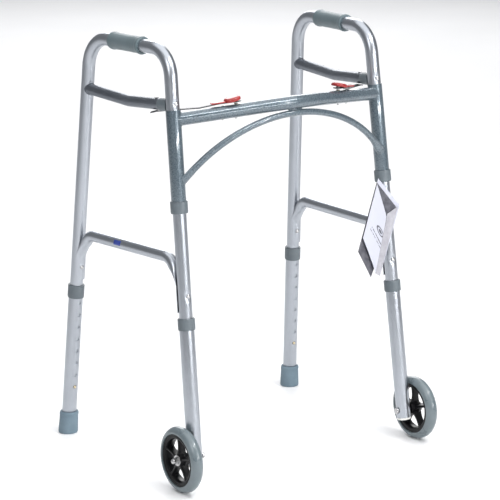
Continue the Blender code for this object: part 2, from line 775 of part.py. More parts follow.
def snap_clip(name, s, end, body):
    """Round-headed button on a folded leaf spring inside the tube."""
    foot = leg_point(s, end, CLIP_Z[end])
    facing = leg_inward(s, end)
    up = leg_axis(s, end)
    base = 0.0098
    top = EXTENSION_R + BUTTON_PROUD
    outline = [
        (0.0, base),
        (BUTTON_R, base),
        (BUTTON_R, top - 0.0022),
        (0.75 * BUTTON_R, top - 0.0006),
        (0.0, top),
    ]
    piece = make_piece(name, turned_mesh(outline, foot, facing, up, 10), body, BRASS)
    across = side_normal(s)
    half = 0.0032
    spine = [(0.0104, -0.0080), (0.0104, 0.0090), (0.0030, 0.0400), (-0.0030, 0.0400), (-0.0104, 0.0060)]
    inner = [(0.0098, -0.0080), (0.0098, 0.0088), (0.0025, 0.0394), (-0.0025, 0.0394), (-0.0098, 0.0060)]
    leaf = [foot + facing * a + up * b - across * half for a, b in spine + inner[::-1]]
    combine(piece, prism_mesh(leaf, across * (2.0 * half)), "UNION")


def tip(name, s, body):
    """Flared rubber foot on a rear leg; its base is level with the floor."""
    axis = Vector((0.0, 0.0, 1.0))
    foot = leg_point(s, "rear", 0.0)
    top = leg_point(s, "rear", TIP_Z) - foot
    lean = Matrix.Identity(4)
    lean[0][2] = top.x / TIP_Z
    lean[1][2] = top.y / TIP_Z
    bore = EXTENSION_R + 2.0 * GAP
    floor = 0.0065
    outline = [
        (0.0, 0.0),
        (TIP_BASE_R - 0.0010, 0.0),
        (TIP_BASE_R, 0.0020),
        (TIP_BASE_R, 0.0100),
        (TIP_TOP_R, 0.0400),
        (TIP_TOP_R - 0.0008, 0.0440),
        (bore + 0.0012, TIP_Z),
        (bore, TIP_Z),
        (bore, floor),
        (0.0, floor),
    ]
    mesh = turned_mesh(outline, Vector((0.0, 0.0, 0.0)), axis, Vector((1.0, 0.0, 0.0)), 18)
    bmesh.ops.transform(mesh, matrix=Matrix.Translation(foot) @ lean, verts=mesh.verts)
    make_piece(name, mesh, body, RUBBER)


def plug(name, s, body):
    """Plastic end plug under a front extension."""
    rim = leg_length(s, "front", (PLUG_Z, EXTENSION_Z["front"][0])) - GAP
    fit = EXTENSION_BORE - GAP
    top = 0.0105
    outline = [(0.0, 0.0), (0.0125, 0.0), (EXTENSION_R, 0.0015), (EXTENSION_R, rim)]
    outline += [(fit, rim), (fit, top), (0.0, top)]
    leg_turned(name, s, "front", PLUG_Z, outline, body, WHITE)


# ---------------------------------------------------------------- wheels


def axle_turned(name, s, outline, sides, body, finish):
    """Piece turned about the axle; heights are |X|."""
    foot = Vector((0.0, WHEEL_Y, WHEEL_R))
    mesh = turned_mesh(outline, foot, Vector((s, 0.0, 0.0)), Vector((0.0, 0.0, 1.0)), sides)
    return make_piece(name, mesh, body, finish)


def axle_bolt(name, s, body):
    """Bolt through the extension, its head inside the frame."""
    start, end = AXLE_X
    head = start + 0.0046
    outline = [(0.0, start), (0.0062, start), (0.0062, head), (AXLE_R, head), (AXLE_R, end), (0.0, end)]
    axle_turned(name, s, outline, 12, body, STEEL)


def axle_nut(name, s, body):
    """Flanged cap nut on the axle's outer end."""
    bore = AXLE_R + GAP
    face = WHEEL_X + TYRE_SECTION_R + 0.0012
    outline = [
        (bore, face),
        (0.0105, face),
        (0.0105, face + 0.0012),
        (0.0062, face + 0.0012),
        (0.0058, AXLE_END_X - 0.0020),
        (0.0035, AXLE_END_X),
        (0.0, AXLE_END_X),
        (0.0, AXLE_X[1] + GAP),
        (bore, AXLE_X[1] + GAP),
    ]
    axle_turned(name, s, outline, 12, body, STEEL)


def hub(name, s, body):
    """Moulded wheel with a rim, a boss and spokes left between its windows."""
    bore = AXLE_R + GAP
    rim = RIM_R - GAP
    outline = [
        (bore, WHEEL_X - 0.0145),
        (0.0110, WHEEL_X - 0.0145),
        (0.0130, WHEEL_X - 0.0040),
        (0.0400, WHEEL_X - 0.0040),
        (0.0430, WHEEL_X - 0.0100),
        (rim, WHEEL_X - 0.0100),
        (rim, WHEEL_X + 0.0100),
        (0.0430, WHEEL_X + 0.0100),
        (0.0400, WHEEL_X + 0.0040),
        (0.0130, WHEEL_X + 0.0040),
        (0.0110, WHEEL_X + 0.0135),
        (bore, WHEEL_X + 0.0135),
    ]
    piece = axle_turned(name, s, outline, 24, body, BLACK)
    for k in range(SPOKES):
        middle = pi / 2.0 + 2.0 * pi * (k + 0.5) / SPOKES
        corners = [(0.0185, -0.27), (0.0185, 0.27), (0.0375, 0.50), (0.0385, 0.0), (0.0375, -0.50)]
        window = []
        for radius, turn in corners:
            y = WHEEL_Y + radius * cos(middle + turn)
            z = WHEEL_R + radius * sin(middle + turn)
            window.append(Vector((s * (WHEEL_X - 0.012), y, z)))
        combine(piece, prism_mesh(window, Vector((s * 0.024, 0.0, 0.0))), "DIFFERENCE")


def tyre(name, s, body):
    """Solid tyre, half round outside the rim."""
    steps = 6
    outline = []
    for k in range(steps + 1):
        a = -pi / 2.0 + pi * k / steps
        outline.append((RIM_R + TYRE_SECTION_R * cos(a), WHEEL_X + TYRE_SECTION_R * sin(a)))
    axle_turned(name, s, outline, WHEEL_SIDES, body, TYRE_GREY)


# ---------------------------------------------------------------- paper tag


def tag_leaf(name, corners, lift, thick, body):
    """Thin leaf that hangs in front of the right front leg, in a plane parallel to it."""
    outline = []
    for x, z in corners:
        y = FRONT_LEG_Y + FRONT_LEG_LEAN * z - lift
        outline.append(Vector((x, y, z)))
    make_piece(name, prism_mesh(outline, Vector((0.0, -thick, 0.0))), body, CARD)


# ---------------------------------------------------------------- assembly


def build_side(side, s):
    """Side frame with its braces, leg extensions, buttons and wheel."""
    fold_axis = leg_axis(s, "front") * s
    frame = Body(f"side_frame_{side}", leg_point(s, "front", BUSHING_Z[1]), fold_axis)
    side_tube(f"side_tube_{side}", s, frame)
    grip(f"grip_{side}", s, frame)
    upper_brace(f"upper_brace_{side}", s, frame)
    brace_saddle(f"brace_saddle_{side}", s, frame)
    lower_brace(f"lower_brace_{side}", s, frame)
    catch_pin(f"catch_pin_{side}", s, frame)
    rivets(side, s, frame)
    for end in ("front", "rear"):
        corner = f"{end}_{side}"
        leg = Body(f"leg_{corner}", leg_point(s, end, EXTENSION_Z[end][0]), -leg_axis(s, end), frame)
        extension(f"extension_{corner}", s, end, leg)
        collar(f"collar_{corner}", s, end, leg)
        clip = Body(f"clip_{corner}", leg_point(s, end, CLIP_Z[end]), -leg_inward(s, end), frame)
        snap_clip(f"snap_clip_{corner}", s, end, clip)
        if end == "rear":
            tip(f"tip_{side}", s, leg)
            continue
        plug(f"plug_{side}", s, leg)
        axle_bolt(f"axle_bolt_{side}", s, leg)
        axle_nut(f"axle_nut_{side}", s, leg)
        centre = Vector((s * WHEEL_X, WHEEL_Y, WHEEL_R))
        wheel = Body(f"wheel_{side}", centre, Vector((1.0, 0.0, 0.0)), leg)
        hub(f"hub_{side}", s, wheel)
        tyre(f"tyre_{side}", s, wheel)
    return frame


def build_latch(side, s, brace):
    """Bolt, spring and rivet on the crossbar, and the plate and paddle that move."""
    latch_bolt(f"latch_bolt_{side}", s, brace)
    latch_spring(f"latch_spring_{side}", s, brace)
    guide_rivet(f"guide_rivet_{side}", s, brace)
    latch = Body(f"latch_{side}", bolt_top(s), Vector((0.0, 0.0, -1.0)), brace)
    latch_plate(f"latch_plate_{side}", s, latch)
    paddle(f"paddle_{side}", s, latch)


def build():
    clear_scene()
    brace = Body("front_brace", crossbar_point(0.0), Vector((0.0, 0.0, 1.0)))
    crossbar("crossbar", brace)
    arch_brace("arch_brace", brace)
    frames = {}
    for side, s in SIDES.items():
        sleeve(f"sleeve_{side}", s, brace)
        bushing(f"bushing_{side}", s, brace)
        build_latch(side, s, brace)
        frames[side] = build_side(side, s)
    booklet = [(0.2154, 0.5317), (0.2622, 0.4726), (0.2018, 0.3419), (0.1950, 0.3500), (0.2080, 0.4400)]
    tag_leaf("tag_booklet", booklet, 0.0165, 0.0012, frames["right"])
    card = [(0.2080, 0.5225), (0.2205, 0.4583), (0.1866, 0.3547)]
    card += [(0.1793, 0.3424), (0.1528, 0.3979), (0.1700, 0.4350)]
    tag_leaf("tag_card", card, 0.0205, 0.0012, frames["right"])


build()
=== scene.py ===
"""Studio scene of a folding walking frame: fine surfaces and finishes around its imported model.

Units are metres, +Z up, +Y to the back.  Each side frame lies in its own leaning plane.
"""

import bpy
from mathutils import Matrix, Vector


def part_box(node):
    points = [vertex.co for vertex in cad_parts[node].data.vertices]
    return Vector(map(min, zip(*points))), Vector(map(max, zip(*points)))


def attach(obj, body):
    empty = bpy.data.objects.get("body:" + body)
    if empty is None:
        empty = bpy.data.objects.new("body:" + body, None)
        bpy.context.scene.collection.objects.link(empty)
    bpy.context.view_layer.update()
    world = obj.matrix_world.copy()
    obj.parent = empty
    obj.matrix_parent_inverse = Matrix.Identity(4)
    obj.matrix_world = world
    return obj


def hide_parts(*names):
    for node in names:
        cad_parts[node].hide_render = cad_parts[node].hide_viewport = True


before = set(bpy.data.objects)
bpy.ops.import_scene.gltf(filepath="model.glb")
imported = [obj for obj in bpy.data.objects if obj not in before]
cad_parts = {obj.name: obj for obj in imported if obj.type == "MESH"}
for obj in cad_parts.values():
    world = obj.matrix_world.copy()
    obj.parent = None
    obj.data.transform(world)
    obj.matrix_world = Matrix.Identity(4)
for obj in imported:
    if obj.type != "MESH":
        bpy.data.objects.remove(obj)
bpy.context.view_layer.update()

from math import cos, pi, radians, sin, sqrt

import bmesh
import bpy
import numpy as np
from mathutils import Vector

SIDES = {"left": -1.0, "right": 1.0}
UP = np.array([0.0, 0.0, 1.0])
ACROSS = np.array([1.0, 0.0, 0.0])
TURN = 2.0 * pi
SMOOTH_ANGLE = radians(35.0)
GAP = 0.0003
FIT = 0.0001

# Frame geometry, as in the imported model
SIDE_PLANE = (0.2625, 0.0566, -0.0302)
FRONT_LEG = (-0.2003, 0.1366)
REAR_LEG = (0.2355, -0.0813)
RAIL = (0.8197, -0.0256)
FRONT_BEND = 0.055
REAR_BEND = 0.065
TUBE_R = 0.0127
TUBE_WALL = 0.0012
TUBE_END = {"front": 0.096, "rear": 0.078}
SLEEVE_R = 0.0143
BRACE_R = 0.0110
BRACE_WALL = 0.0010
BRACE_KINK = 0.09
SADDLE_SEAT_R = 0.0206
SADDLE_BORE_R = 0.0148
COLLAR_R = 0.0165
CROSSBAR_HALF = 0.2355
CROSSBAR_REACH = 0.219
CROSSBAR_END = (-0.1056, 0.6940)
CROSSBAR_MIDDLE = (-0.1642, 0.7120)
CROSSBAR_BEND = 0.042
ARCH_R = 0.00635
ARCH_HALF = 0.2360
ARCH_REACH = 0.2240
ARCH_FLARE = 0.024
ARCH_THIN = 0.0042
ARCH_WIDE = 0.0086
ARCH_END = (-0.1291, 0.5762)
ARCH_MIDDLE = (-0.1642, 0.6912)
LOWER_LEVEL = (0.4285, -0.0357)
LOWER_BEND = 0.034
LOWER_FOOT = {"front": 0.336, "rear": 0.327}
LOWER_RIVET = {"front": 0.367, "rear": 0.353}
UPPER_RIVET = 0.7235
CLIP_Z = {"front": 0.1180, "rear": 0.1009}
COLLAR_Z = {"front": (0.3035, 0.3255), "rear": (0.2870, 0.3135)}
EXTENSION_Z = {"front": (0.0490, 0.3230), "rear": (0.0088, 0.3110)}
HOLE_PITCH = 0.0254
HOLE_R = 0.0039
HOLES = 8
WHEEL = (0.2795, -0.1917, 0.0635)
TREAD_R = 0.0127
SPOKES = 5
BOLT_X = 0.1187
GRIP_Y = (-0.0055, 0.0925)


# ---------------------------------------------------------------- places on the frame


def unit(v):
    """Vector of length one along v."""
    return np.asarray(v, float) / np.linalg.norm(v)


def side_point(s, y, z):
    """Point of a side frame's plane: |X| is linear in Y and Z."""
    return np.array([s * (SIDE_PLANE[0] + SIDE_PLANE[1] * y + SIDE_PLANE[2] * z), y, z])


def side_normal(s):
    """Outward normal of a side frame's plane."""
    return unit([s, -SIDE_PLANE[1], -SIDE_PLANE[2]])


def leg_point(s, end, z):
    """Point of a leg's middle line at a height."""
    foot, lean = FRONT_LEG if end == "front" else REAR_LEG
    return side_point(s, foot + lean * z, z)


def leg_axis(s, end):
    """Upward unit vector along a leg."""
    return unit(leg_point(s, end, 1.0) - leg_point(s, end, 0.0))


def leg_inward(s, end):
    """Unit vector in the side plane, square to a leg, towards the other leg."""
    across = unit(np.cross(side_normal(s), leg_axis(s, end)))
    return across * np.sign(across[1]) * (1.0 if end == "front" else -1.0)


def rail_point(s, y):
    """Point of the rail's middle line."""
    return side_point(s, y, RAIL[0] + RAIL[1] * y)


def rail_corner(s, end):
    """Where the middle lines of the rail and a leg cross."""
    foot, lean = FRONT_LEG if end == "front" else REAR_LEG
    return rail_point(s, (foot + lean * RAIL[0]) / (1.0 - lean * RAIL[1]))


def crossbar_point(x):
    """Two straight halves joined by a hyperbola's bend: the set-back grows as sqrt(x2 + bend2)."""
    x = np.asarray(x, float)
    reach = sqrt(CROSSBAR_HALF**2 + CROSSBAR_BEND**2) - CROSSBAR_BEND
    back = (np.sqrt(x * x + CROSSBAR_BEND**2) - CROSSBAR_BEND) / reach
    y = CROSSBAR_MIDDLE[0] + (CROSSBAR_END[0] - CROSSBAR_MIDDLE[0]) * back
    z = CROSSBAR_MIDDLE[1] + (CROSSBAR_END[1] - CROSSBAR_MIDDLE[1]) * back
    return np.stack([x, y, z], axis=-1)


# ---------------------------------------------------------------- surfaces


def angles(count):
    """Even angles round a full turn, without repeating the first."""
    return np.linspace(0.0, TURN, count, endpoint=False)


def squarish(a, power):
    """Unit superellipse: sign(cos a) |cos a|^power and sign(sin a) |sin a|^power."""
    u = np.sign(np.cos(a)) * np.abs(np.cos(a)) ** power
    v = np.sign(np.sin(a)) * np.abs(np.sin(a)) ** power
    return u, v


def eased(t):
    """Smooth step, 3 t^2 - 2 t^3, with t held between 0 and 1."""
    t = np.clip(t, 0.0, 1.0)
    return t * t * (3.0 - 2.0 * t)


def grid_faces(rows, columns, wrap_rows=False):
    """Quads of a grid whose columns wrap round; its rows wrap too where the section is a ring."""
    i = np.arange(rows if wrap_rows else rows - 1)[:, None]
    j = np.arange(columns)[None, :]
    k = (j + 1) % columns
    m = (i + 1) % rows
    corners = np.broadcast_arrays(i * columns + j, i * columns + k, m * columns + k, m * columns + j)
    return np.stack(corners, axis=-1).reshape(-1, 4)


def bent_path(corners, radii, spacing=0.003):
    """Polyline at even spacing through the corners, an arc of the given radius at each inner one."""
    points = [corners[0]]
    for before, corner, after, radius in zip(corners, corners[1:], corners[2:], radii):
        back = unit(before - corner)
        ahead = unit(after - corner)
        half = 0.5 * np.arccos(np.clip(back @ ahead, -1.0, 1.0))
        centre = corner + unit(back + ahead) * radius / sin(half)
        first = corner + back * radius / np.tan(half) - centre
        last = corner + ahead * radius / np.tan(half) - centre
        turn = pi - 2.0 * half
        a = np.linspace(0.0, turn, 33)[:, None]
        points += list(centre + (first * np.sin(turn - a) + last * np.sin(a)) / sin(turn))
    points = np.array(points + [corners[-1]])
    along = np.concatenate([[0.0], np.cumsum(np.linalg.norm(np.diff(points, axis=0), axis=1))])
    even = np.linspace(0.0, along[-1], int(along[-1] / spacing) + 2)
    return np.stack([np.interp(even, along, points[:, c]) for c in range(3)], axis=-1)


def section_rings(path, normal, widths, heights, sides):
    """Ovals carried along a flat path.

    Each is point + normal * width * cos(a) + (tangent x normal) * height * sin(a).
    """
    tangent = np.gradient(path, axis=0)
    tangent /= np.linalg.norm(tangent, axis=1, keepdims=True)
    across = np.cross(tangent, normal)
    across /= np.linalg.norm(across, axis=1, keepdims=True)
    a = angles(sides)
    w = np.broadcast_to(widths, len(path))[:, None, None] * np.cos(a)[None, :, None]
    h = np.broadcast_to(heights, len(path))[:, None, None] * np.sin(a)[None, :, None]
    return path[:, None, :] + normal * w + across[:, None, :] * h


def tube_rings(path, normal, radius, wall, sides=48):
    """Outer rings followed by the inner ones in reverse, so that the tube's wall closes on itself."""
    outer = section_rings(path, normal, radius, radius, sides)
    inner = section_rings(path, normal, radius - wall, radius - wall, sides)[::-6]
    return outer, inner


def ring_surface(rings, wrap=False):
    """Points and quads of a stack of equal rings."""
    rows, columns = rings.shape[:2]
    return rings.reshape(-1, 3), grid_faces(rows, columns, wrap)


def capped(rings):
    """Rings with their two ends drawn in to their centres."""
    first = np.broadcast_to(rings[0].mean(axis=0), rings[0].shape)
    last = np.broadcast_to(rings[-1].mean(axis=0), rings[-1].shape)
    return ring_surface(np.concatenate([first[None], rings, last[None]]))


def rounded(outline, radius, closed=True, steps=4):
    """Outline of (radius, height) points with its corners rounded by quadratic curves."""
    points = np.array(outline, float)
    count = len(points)
    out = []
    for i in range(count):
        if not closed and i in (0, count - 1):
            out.append(points[i])
            continue
        p = points[i]
        before = points[i - 1] - p
        after = points[(i + 1) % count] - p
        reach = min(radius, 0.45 * np.linalg.norm(before), 0.45 * np.linalg.norm(after))
        a = p + unit(before) * reach
        b = p + unit(after) * reach
        for t in np.linspace(0.0, 1.0, steps + 1):
            out.append((1 - t) ** 2 * a + 2 * t * (1 - t) * p + t * t * b)
    return np.array(out)


def turned(outline, foot, axis, sides=48, ring=False):
    """Outline of (radius, height) turned about an axis: foot + axis * height + radius * (cos a, sin a)."""
    outline = np.asarray(outline, float)
    axis = unit(axis)
    guide = ACROSS if abs(axis[0]) < 0.9 else UP
    across = unit(np.cross(axis, guide))
    square = np.cross(across, axis)
    a = angles(sides)
    spin = square * np.cos(a)[:, None] + across * np.sin(a)[:, None]
    rings = foot + axis * outline[:, 1, None, None] + spin[None] * outline[:, 0, None, None]
    return ring_surface(rings, wrap=ring)


def meet_leg(ring, direction, s, end, radius):
    """Slides each point of a ring along the direction until it meets a cylinder about a leg.

    The distance t is the first root of |q + t e| = radius, both taken square to the leg.
    """
    axis = leg_axis(s, end)
    q = ring - leg_point(s, end, 0.0)
    q = q - (q @ axis)[:, None] * axis
    e = direction - (direction @ axis) * axis
    a = e @ e
    b = 2.0 * (q @ e)
    c = (q * q).sum(axis=1) - radius**2
    t = (-b - np.sqrt(np.maximum(b * b - 4.0 * a * c, 0.0))) / (2.0 * a)
    return ring + t[:, None] * direction


def cord_rings(curve, out, up, radius):
    """Circles along a curve: point + radius * (out * cos(b) + up * sin(b))."""
    b = angles(10)
    circle = out[:, None, :] * np.cos(b)[None, :, None] + up * np.sin(b)[None, :, None]
    return curve[:, None, :] + radius * circle


def bead(ring, direction, radius, ripples=26):
    """Weld bead: a rippled ring of small circles along a closed curve."""
    out = ring - ring.mean(axis=0)
    out /= np.linalg.norm(out, axis=1, keepdims=True)
    size = radius * (1.0 + 0.12 * np.sin(ripples * angles(len(ring))))[:, None, None]
    return ring_surface(cord_rings(ring, out, direction, size), wrap=True)


def dimple(points, centre, inward, depth, size):
    """Presses points near the centre inwards by a bell curve of their distance."""
    distance = np.linalg.norm(points - centre, axis=-1)
    return points + inward * (depth * np.exp(-((distance / size) ** 2)))[..., None]


# ---------------------------------------------------------------- objects


def joined(name, surfaces):
    """Mesh of several (points, quads) surfaces, closed, facing out and smooth up to an angle."""
    points = []
    faces = []
    count = 0
    for verts, quads in surfaces:
        points.append(verts)
        faces.append(quads + count)
        count += len(verts)
    data = bpy.data.meshes.new(name)
    data.from_pydata(np.concatenate(points).tolist(), [], np.concatenate(faces).tolist())
    mesh = bmesh.new()
    mesh.from_mesh(data)
    bmesh.ops.remove_doubles(mesh, verts=mesh.verts, dist=0.000002)
    bmesh.ops.recalc_face_normals(mesh, faces=mesh.faces)
    mesh.to_mesh(data)
    mesh.free()
    data.shade_smooth()
    data.set_sharp_from_angle(angle=SMOOTH_ANGLE)
    return data


def placed(name, data):
    """Object at the origin that carries some data."""
    item = bpy.data.objects.new(name, data)
    bpy.context.scene.collection.objects.link(item)
    return item


def make(name, surfaces, body, finish, replaces=()):
    """One visible piece on a body, in a finish."""
    data = joined(name, surfaces)
    piece = placed(name, data)
    data.materials.append(MATERIALS[finish])
    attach(piece, body)
    if replaces:
        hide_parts(*replaces)
    return piece


def refine(part, where, surfaces, body, finish):
    """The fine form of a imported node, in place of it."""
    return make(f"{part}_fine_{where}", surfaces, body, finish, [f"{part}_{where}"])


def drill(piece, holes):
    """Cuts round holes, each (start, end, radius), out of a piece and applies the cut."""
    tools = []
    for start, end, r in holes:
        length = np.linalg.norm(end - start)
        outline = [(0.0, 0.0), (r, 0.0), (r, length), (0.0, length)]
        tools.append(turned(outline, start, end - start, 24))
    tool = placed("drill", joined("drill", tools))
    cut = piece.modifiers.new("holes", "BOOLEAN")
    cut.operation = "DIFFERENCE"
    cut.object = tool
    bpy.context.view_layer.update()
    result = bpy.data.meshes.new_from_object(piece.evaluated_get(bpy.context.evaluated_depsgraph_get()))
    piece.modifiers.clear()
    piece.data = result
    bpy.data.objects.remove(tool)
    result.shade_smooth()
    result.set_sharp_from_angle(angle=SMOOTH_ANGLE)


# ---------------------------------------------------------------- finishes


class Wire:
    """A value in a material; arithmetic on it adds Math nodes."""

    def __init__(self, finish, socket):
        self.finish = finish
        self.socket = socket

    def _math(self, operation, a, b):
        return self.finish.node("ShaderNodeMath", {"operation": operation}, {0: a, 1: b})

    def __add__(self, other):
        return self._math("ADD", self, other)

    def __sub__(self, other):
        return self._math("SUBTRACT", self, other)

    def __rsub__(self, other):
        return self._math("SUBTRACT", other, self)

    def __mul__(self, other):
        return self._math("MULTIPLY", self, other)

    __radd__ = __add__
    __rmul__ = __mul__


class Finish:
    """Procedural material on one Principled shader."""

    def __init__(self, name, **constants):
        self.material = bpy.data.materials.new(name)
        self.material.use_nodes = True
        self.tree = self.material.node_tree
        self.shader = self.tree.nodes["Principled BSDF"]
        for socket, value in constants.items():
            self.shader.inputs[socket.replace("_", " ").title().replace("Ior", "IOR")].default_value = value

    def node(self, kind, settings, inputs, output=0):
        """Adds a node; an input is a constant or a Wire."""
        made = self.tree.nodes.new(kind)
        for key, value in settings.items():
            setattr(made, key, value)
        for key, value in inputs.items():
            if isinstance(value, Wire):
                self.tree.links.new(value.socket, made.inputs[key])
            else:
                made.inputs[key].default_value = value
        return Wire(self, made.outputs[output])

    def place(self, scale):
        """Object coordinates, stretched by a scale along each axis."""
        coordinates = self.node("ShaderNodeTexCoord", {}, {}, "Object")
        return self.node("ShaderNodeMapping", {}, {"Vector": coordinates, "Scale": scale})

    def noise(self, scale, detail=3.0, stretch=(1.0, 1.0, 1.0)):
        """Soft noise between 0 and 1, in Object coordinates."""
        inputs = {"Vector": self.place(stretch), "Scale": scale, "Detail": detail}
        return self.node("ShaderNodeTexNoise", {}, inputs, "Fac")

    def ramp(self, value, stops):
        """Colour ramp; each stop is (position, colour)."""
        made = self.tree.nodes.new("ShaderNodeValToRGB")
        elements = made.color_ramp.elements
        while len(elements) < len(stops):
            elements.new(0.5)
        for element, (position, colour) in zip(elements, stops):
            element.position = position
            element.color = (*colour, 1.0)
        self.tree.links.new(value.socket, made.inputs[0])
        return Wire(self, made.outputs[0])

    def drive(self, socket, value):
        """Links a value to a socket of the shader."""
        self.tree.links.new(value.socket, self.shader.inputs[socket])

    def tint(self, value, *stops):
        """Base Color from a ramp of a value."""
        self.drive("Base Color", self.ramp(value, stops))

    def near(self, value, target, reach):
        """1 where the value lies within reach of the target, else 0."""
        return self.node("ShaderNodeMath", {"operation": "COMPARE"}, {0: value, 1: target, 2: reach})

    def bump(self, height, strength, distance):
        """Bump from a height, into the shader's Normal."""
        inputs = {"Strength": strength, "Distance": distance, "Height": height}
        self.drive("Normal", self.node("ShaderNodeBump", {}, inputs, "Normal"))

    def speckled(self, dark, light, scale, rough, bump_scale, bump_strength, bump_distance=0.0002):
        """Soft variation between two colours and two roughnesses over a fine bump."""
        cloud = self.noise(scale)
        self.tint(cloud, (0.35, dark), (0.65, light))
        self.drive("Roughness", cloud * (rough[1] - rough[0]) + rough[0])
        self.bump(self.noise(bump_scale, 2.0), bump_strength, bump_distance)
        return self.material


def anodised_tube():
    """Drawn and anodised aluminium: fine lines along the tube, faint clouding, a few scuffs."""
    finish = Finish("anodised_tube", metallic=1.0)
    cloud = finish.noise(9.0)
    lines = finish.noise(55.0, 3.0, (22.0, 22.0, 0.6))
    scuffs = finish.noise(60.0, 5.0)
    shade = cloud * 0.5 + lines * 0.5
    finish.tint(shade, (0.3, (0.385, 0.41, 0.445)), (0.7, (0.46, 0.485, 0.525)))
    finish.drive("Roughness", lines * 0.06 + scuffs * 0.05 + 0.26)
    finish.bump(lines, 0.03, 0.00004)
    return finish.material


def grey_enamel():
    """Glossy grey enamel with orange peel; fine lighter specks in its colour are painted glints of the
    orange peel.
    """
    finish = Finish("grey_enamel", coat_weight=1.0, coat_roughness=0.08, metallic=0.35)
    cloud = finish.noise(14.0)
    specks = finish.noise(420.0, 2.0)
    peel = finish.noise(260.0, 1.0)
    # the specks lighten the colour in fine spots: painted glints of the orange peel
    shade = cloud * 0.6 + specks * 0.4
    finish.tint(shade, (0.36, (0.076, 0.105, 0.128)), (0.62, (0.108, 0.144, 0.170)))
    finish.drive("Roughness", specks * 0.10 + 0.23)
    finish.bump(peel * 0.8 + specks * 0.2, 0.7, 0.0006)
    return finish.material


def brace_enamel():
    """Satin grey finish of the upper braces, rubbed along their length."""
    finish = Finish("brace_enamel", metallic=0.7)
    cloud = finish.noise(12.0)
    lines = finish.noise(50.0, 3.0, (14.0, 0.8, 14.0))
    shade = cloud * 0.5 + lines * 0.5
    finish.tint(shade, (0.35, (0.105, 0.118, 0.140)), (0.65, (0.165, 0.180, 0.205)))
    finish.drive("Roughness", lines * 0.12 + 0.27)
    finish.bump(lines, 0.10, 0.00008)
    return finish.material


def grip_vinyl():
    """Dipped vinyl: a matt skin with fine grain and slow waves where it was pulled on."""
    finish = Finish("grip_vinyl", sheen_weight=0.15)
    cloud = finish.noise(22.0)
    grain = finish.noise(900.0, 2.0)
    waves = finish.noise(40.0, 1.0, (1.0, 0.35, 1.0))
    finish.tint(cloud, (0.35, (0.082, 0.118, 0.132)), (0.65, (0.108, 0.148, 0.164)))
    finish.drive("Roughness", grain * 0.14 + 0.40)
    finish.bump(grain * 0.3 + waves * 0.7, 0.35, 0.0005)
    return finish.material


def simple(name, dark, light, rough, metallic=0.0, coat=0.0, cloud=40.0, grain=600.0, strength=0.2,
           shine=0.5):
    """Plain finish between two colours and two roughnesses, over a fine grain."""
    finish = Finish(name, metallic=metallic, coat_weight=coat, specular_ior_level=shine)
    return finish.speckled(dark, light, cloud, rough, grain, strength)


def printed_card():
    """Pale card with a generic mark: an oval ring and two broken lines, all slanting down the leaf."""
    finish = Finish("printed_card", roughness=0.5)
    where = finish.node("ShaderNodeTexCoord", {}, {}, "Object")
    x = finish.node("ShaderNodeSeparateXYZ", {}, {"Vector": where}, "X")
    z = finish.node("ShaderNodeSeparateXYZ", {}, {"Vector": where}, "Z")
    across = x * 0.89 + z * 0.46
    down = x * 0.46 - z * 0.89
    ring_across = (across - 0.3825) * 210.0
    ring_down = (down + 0.2880) * 72.0
    ring_distance = ring_across * ring_across + ring_down * ring_down
    ring = finish.near(ring_distance, 0.85, 0.30)
    core = finish.near(ring_distance, 0.0, 0.22)
    grain = finish.noise(520.0, 1.0)
    broken = finish.node("ShaderNodeMath", {"operation": "GREATER_THAN"}, {0: grain, 1: 0.46})
    lines = finish.near(across, 0.3705, 0.0010) + finish.near(across, 0.3655, 0.0008)
    lines = lines * finish.near(down, -0.2820, 0.0260) * broken
    mark = ring + core + lines
    cloud = finish.noise(120.0)
    shade = mark * -0.8 + cloud * 0.1 + 0.85
    finish.tint(shade, (0.1, (0.10, 0.10, 0.12)), (0.8, (0.50, 0.51, 0.58)))
    finish.bump(finish.noise(900.0, 2.0), 0.08, 0.0002)
    return finish.material


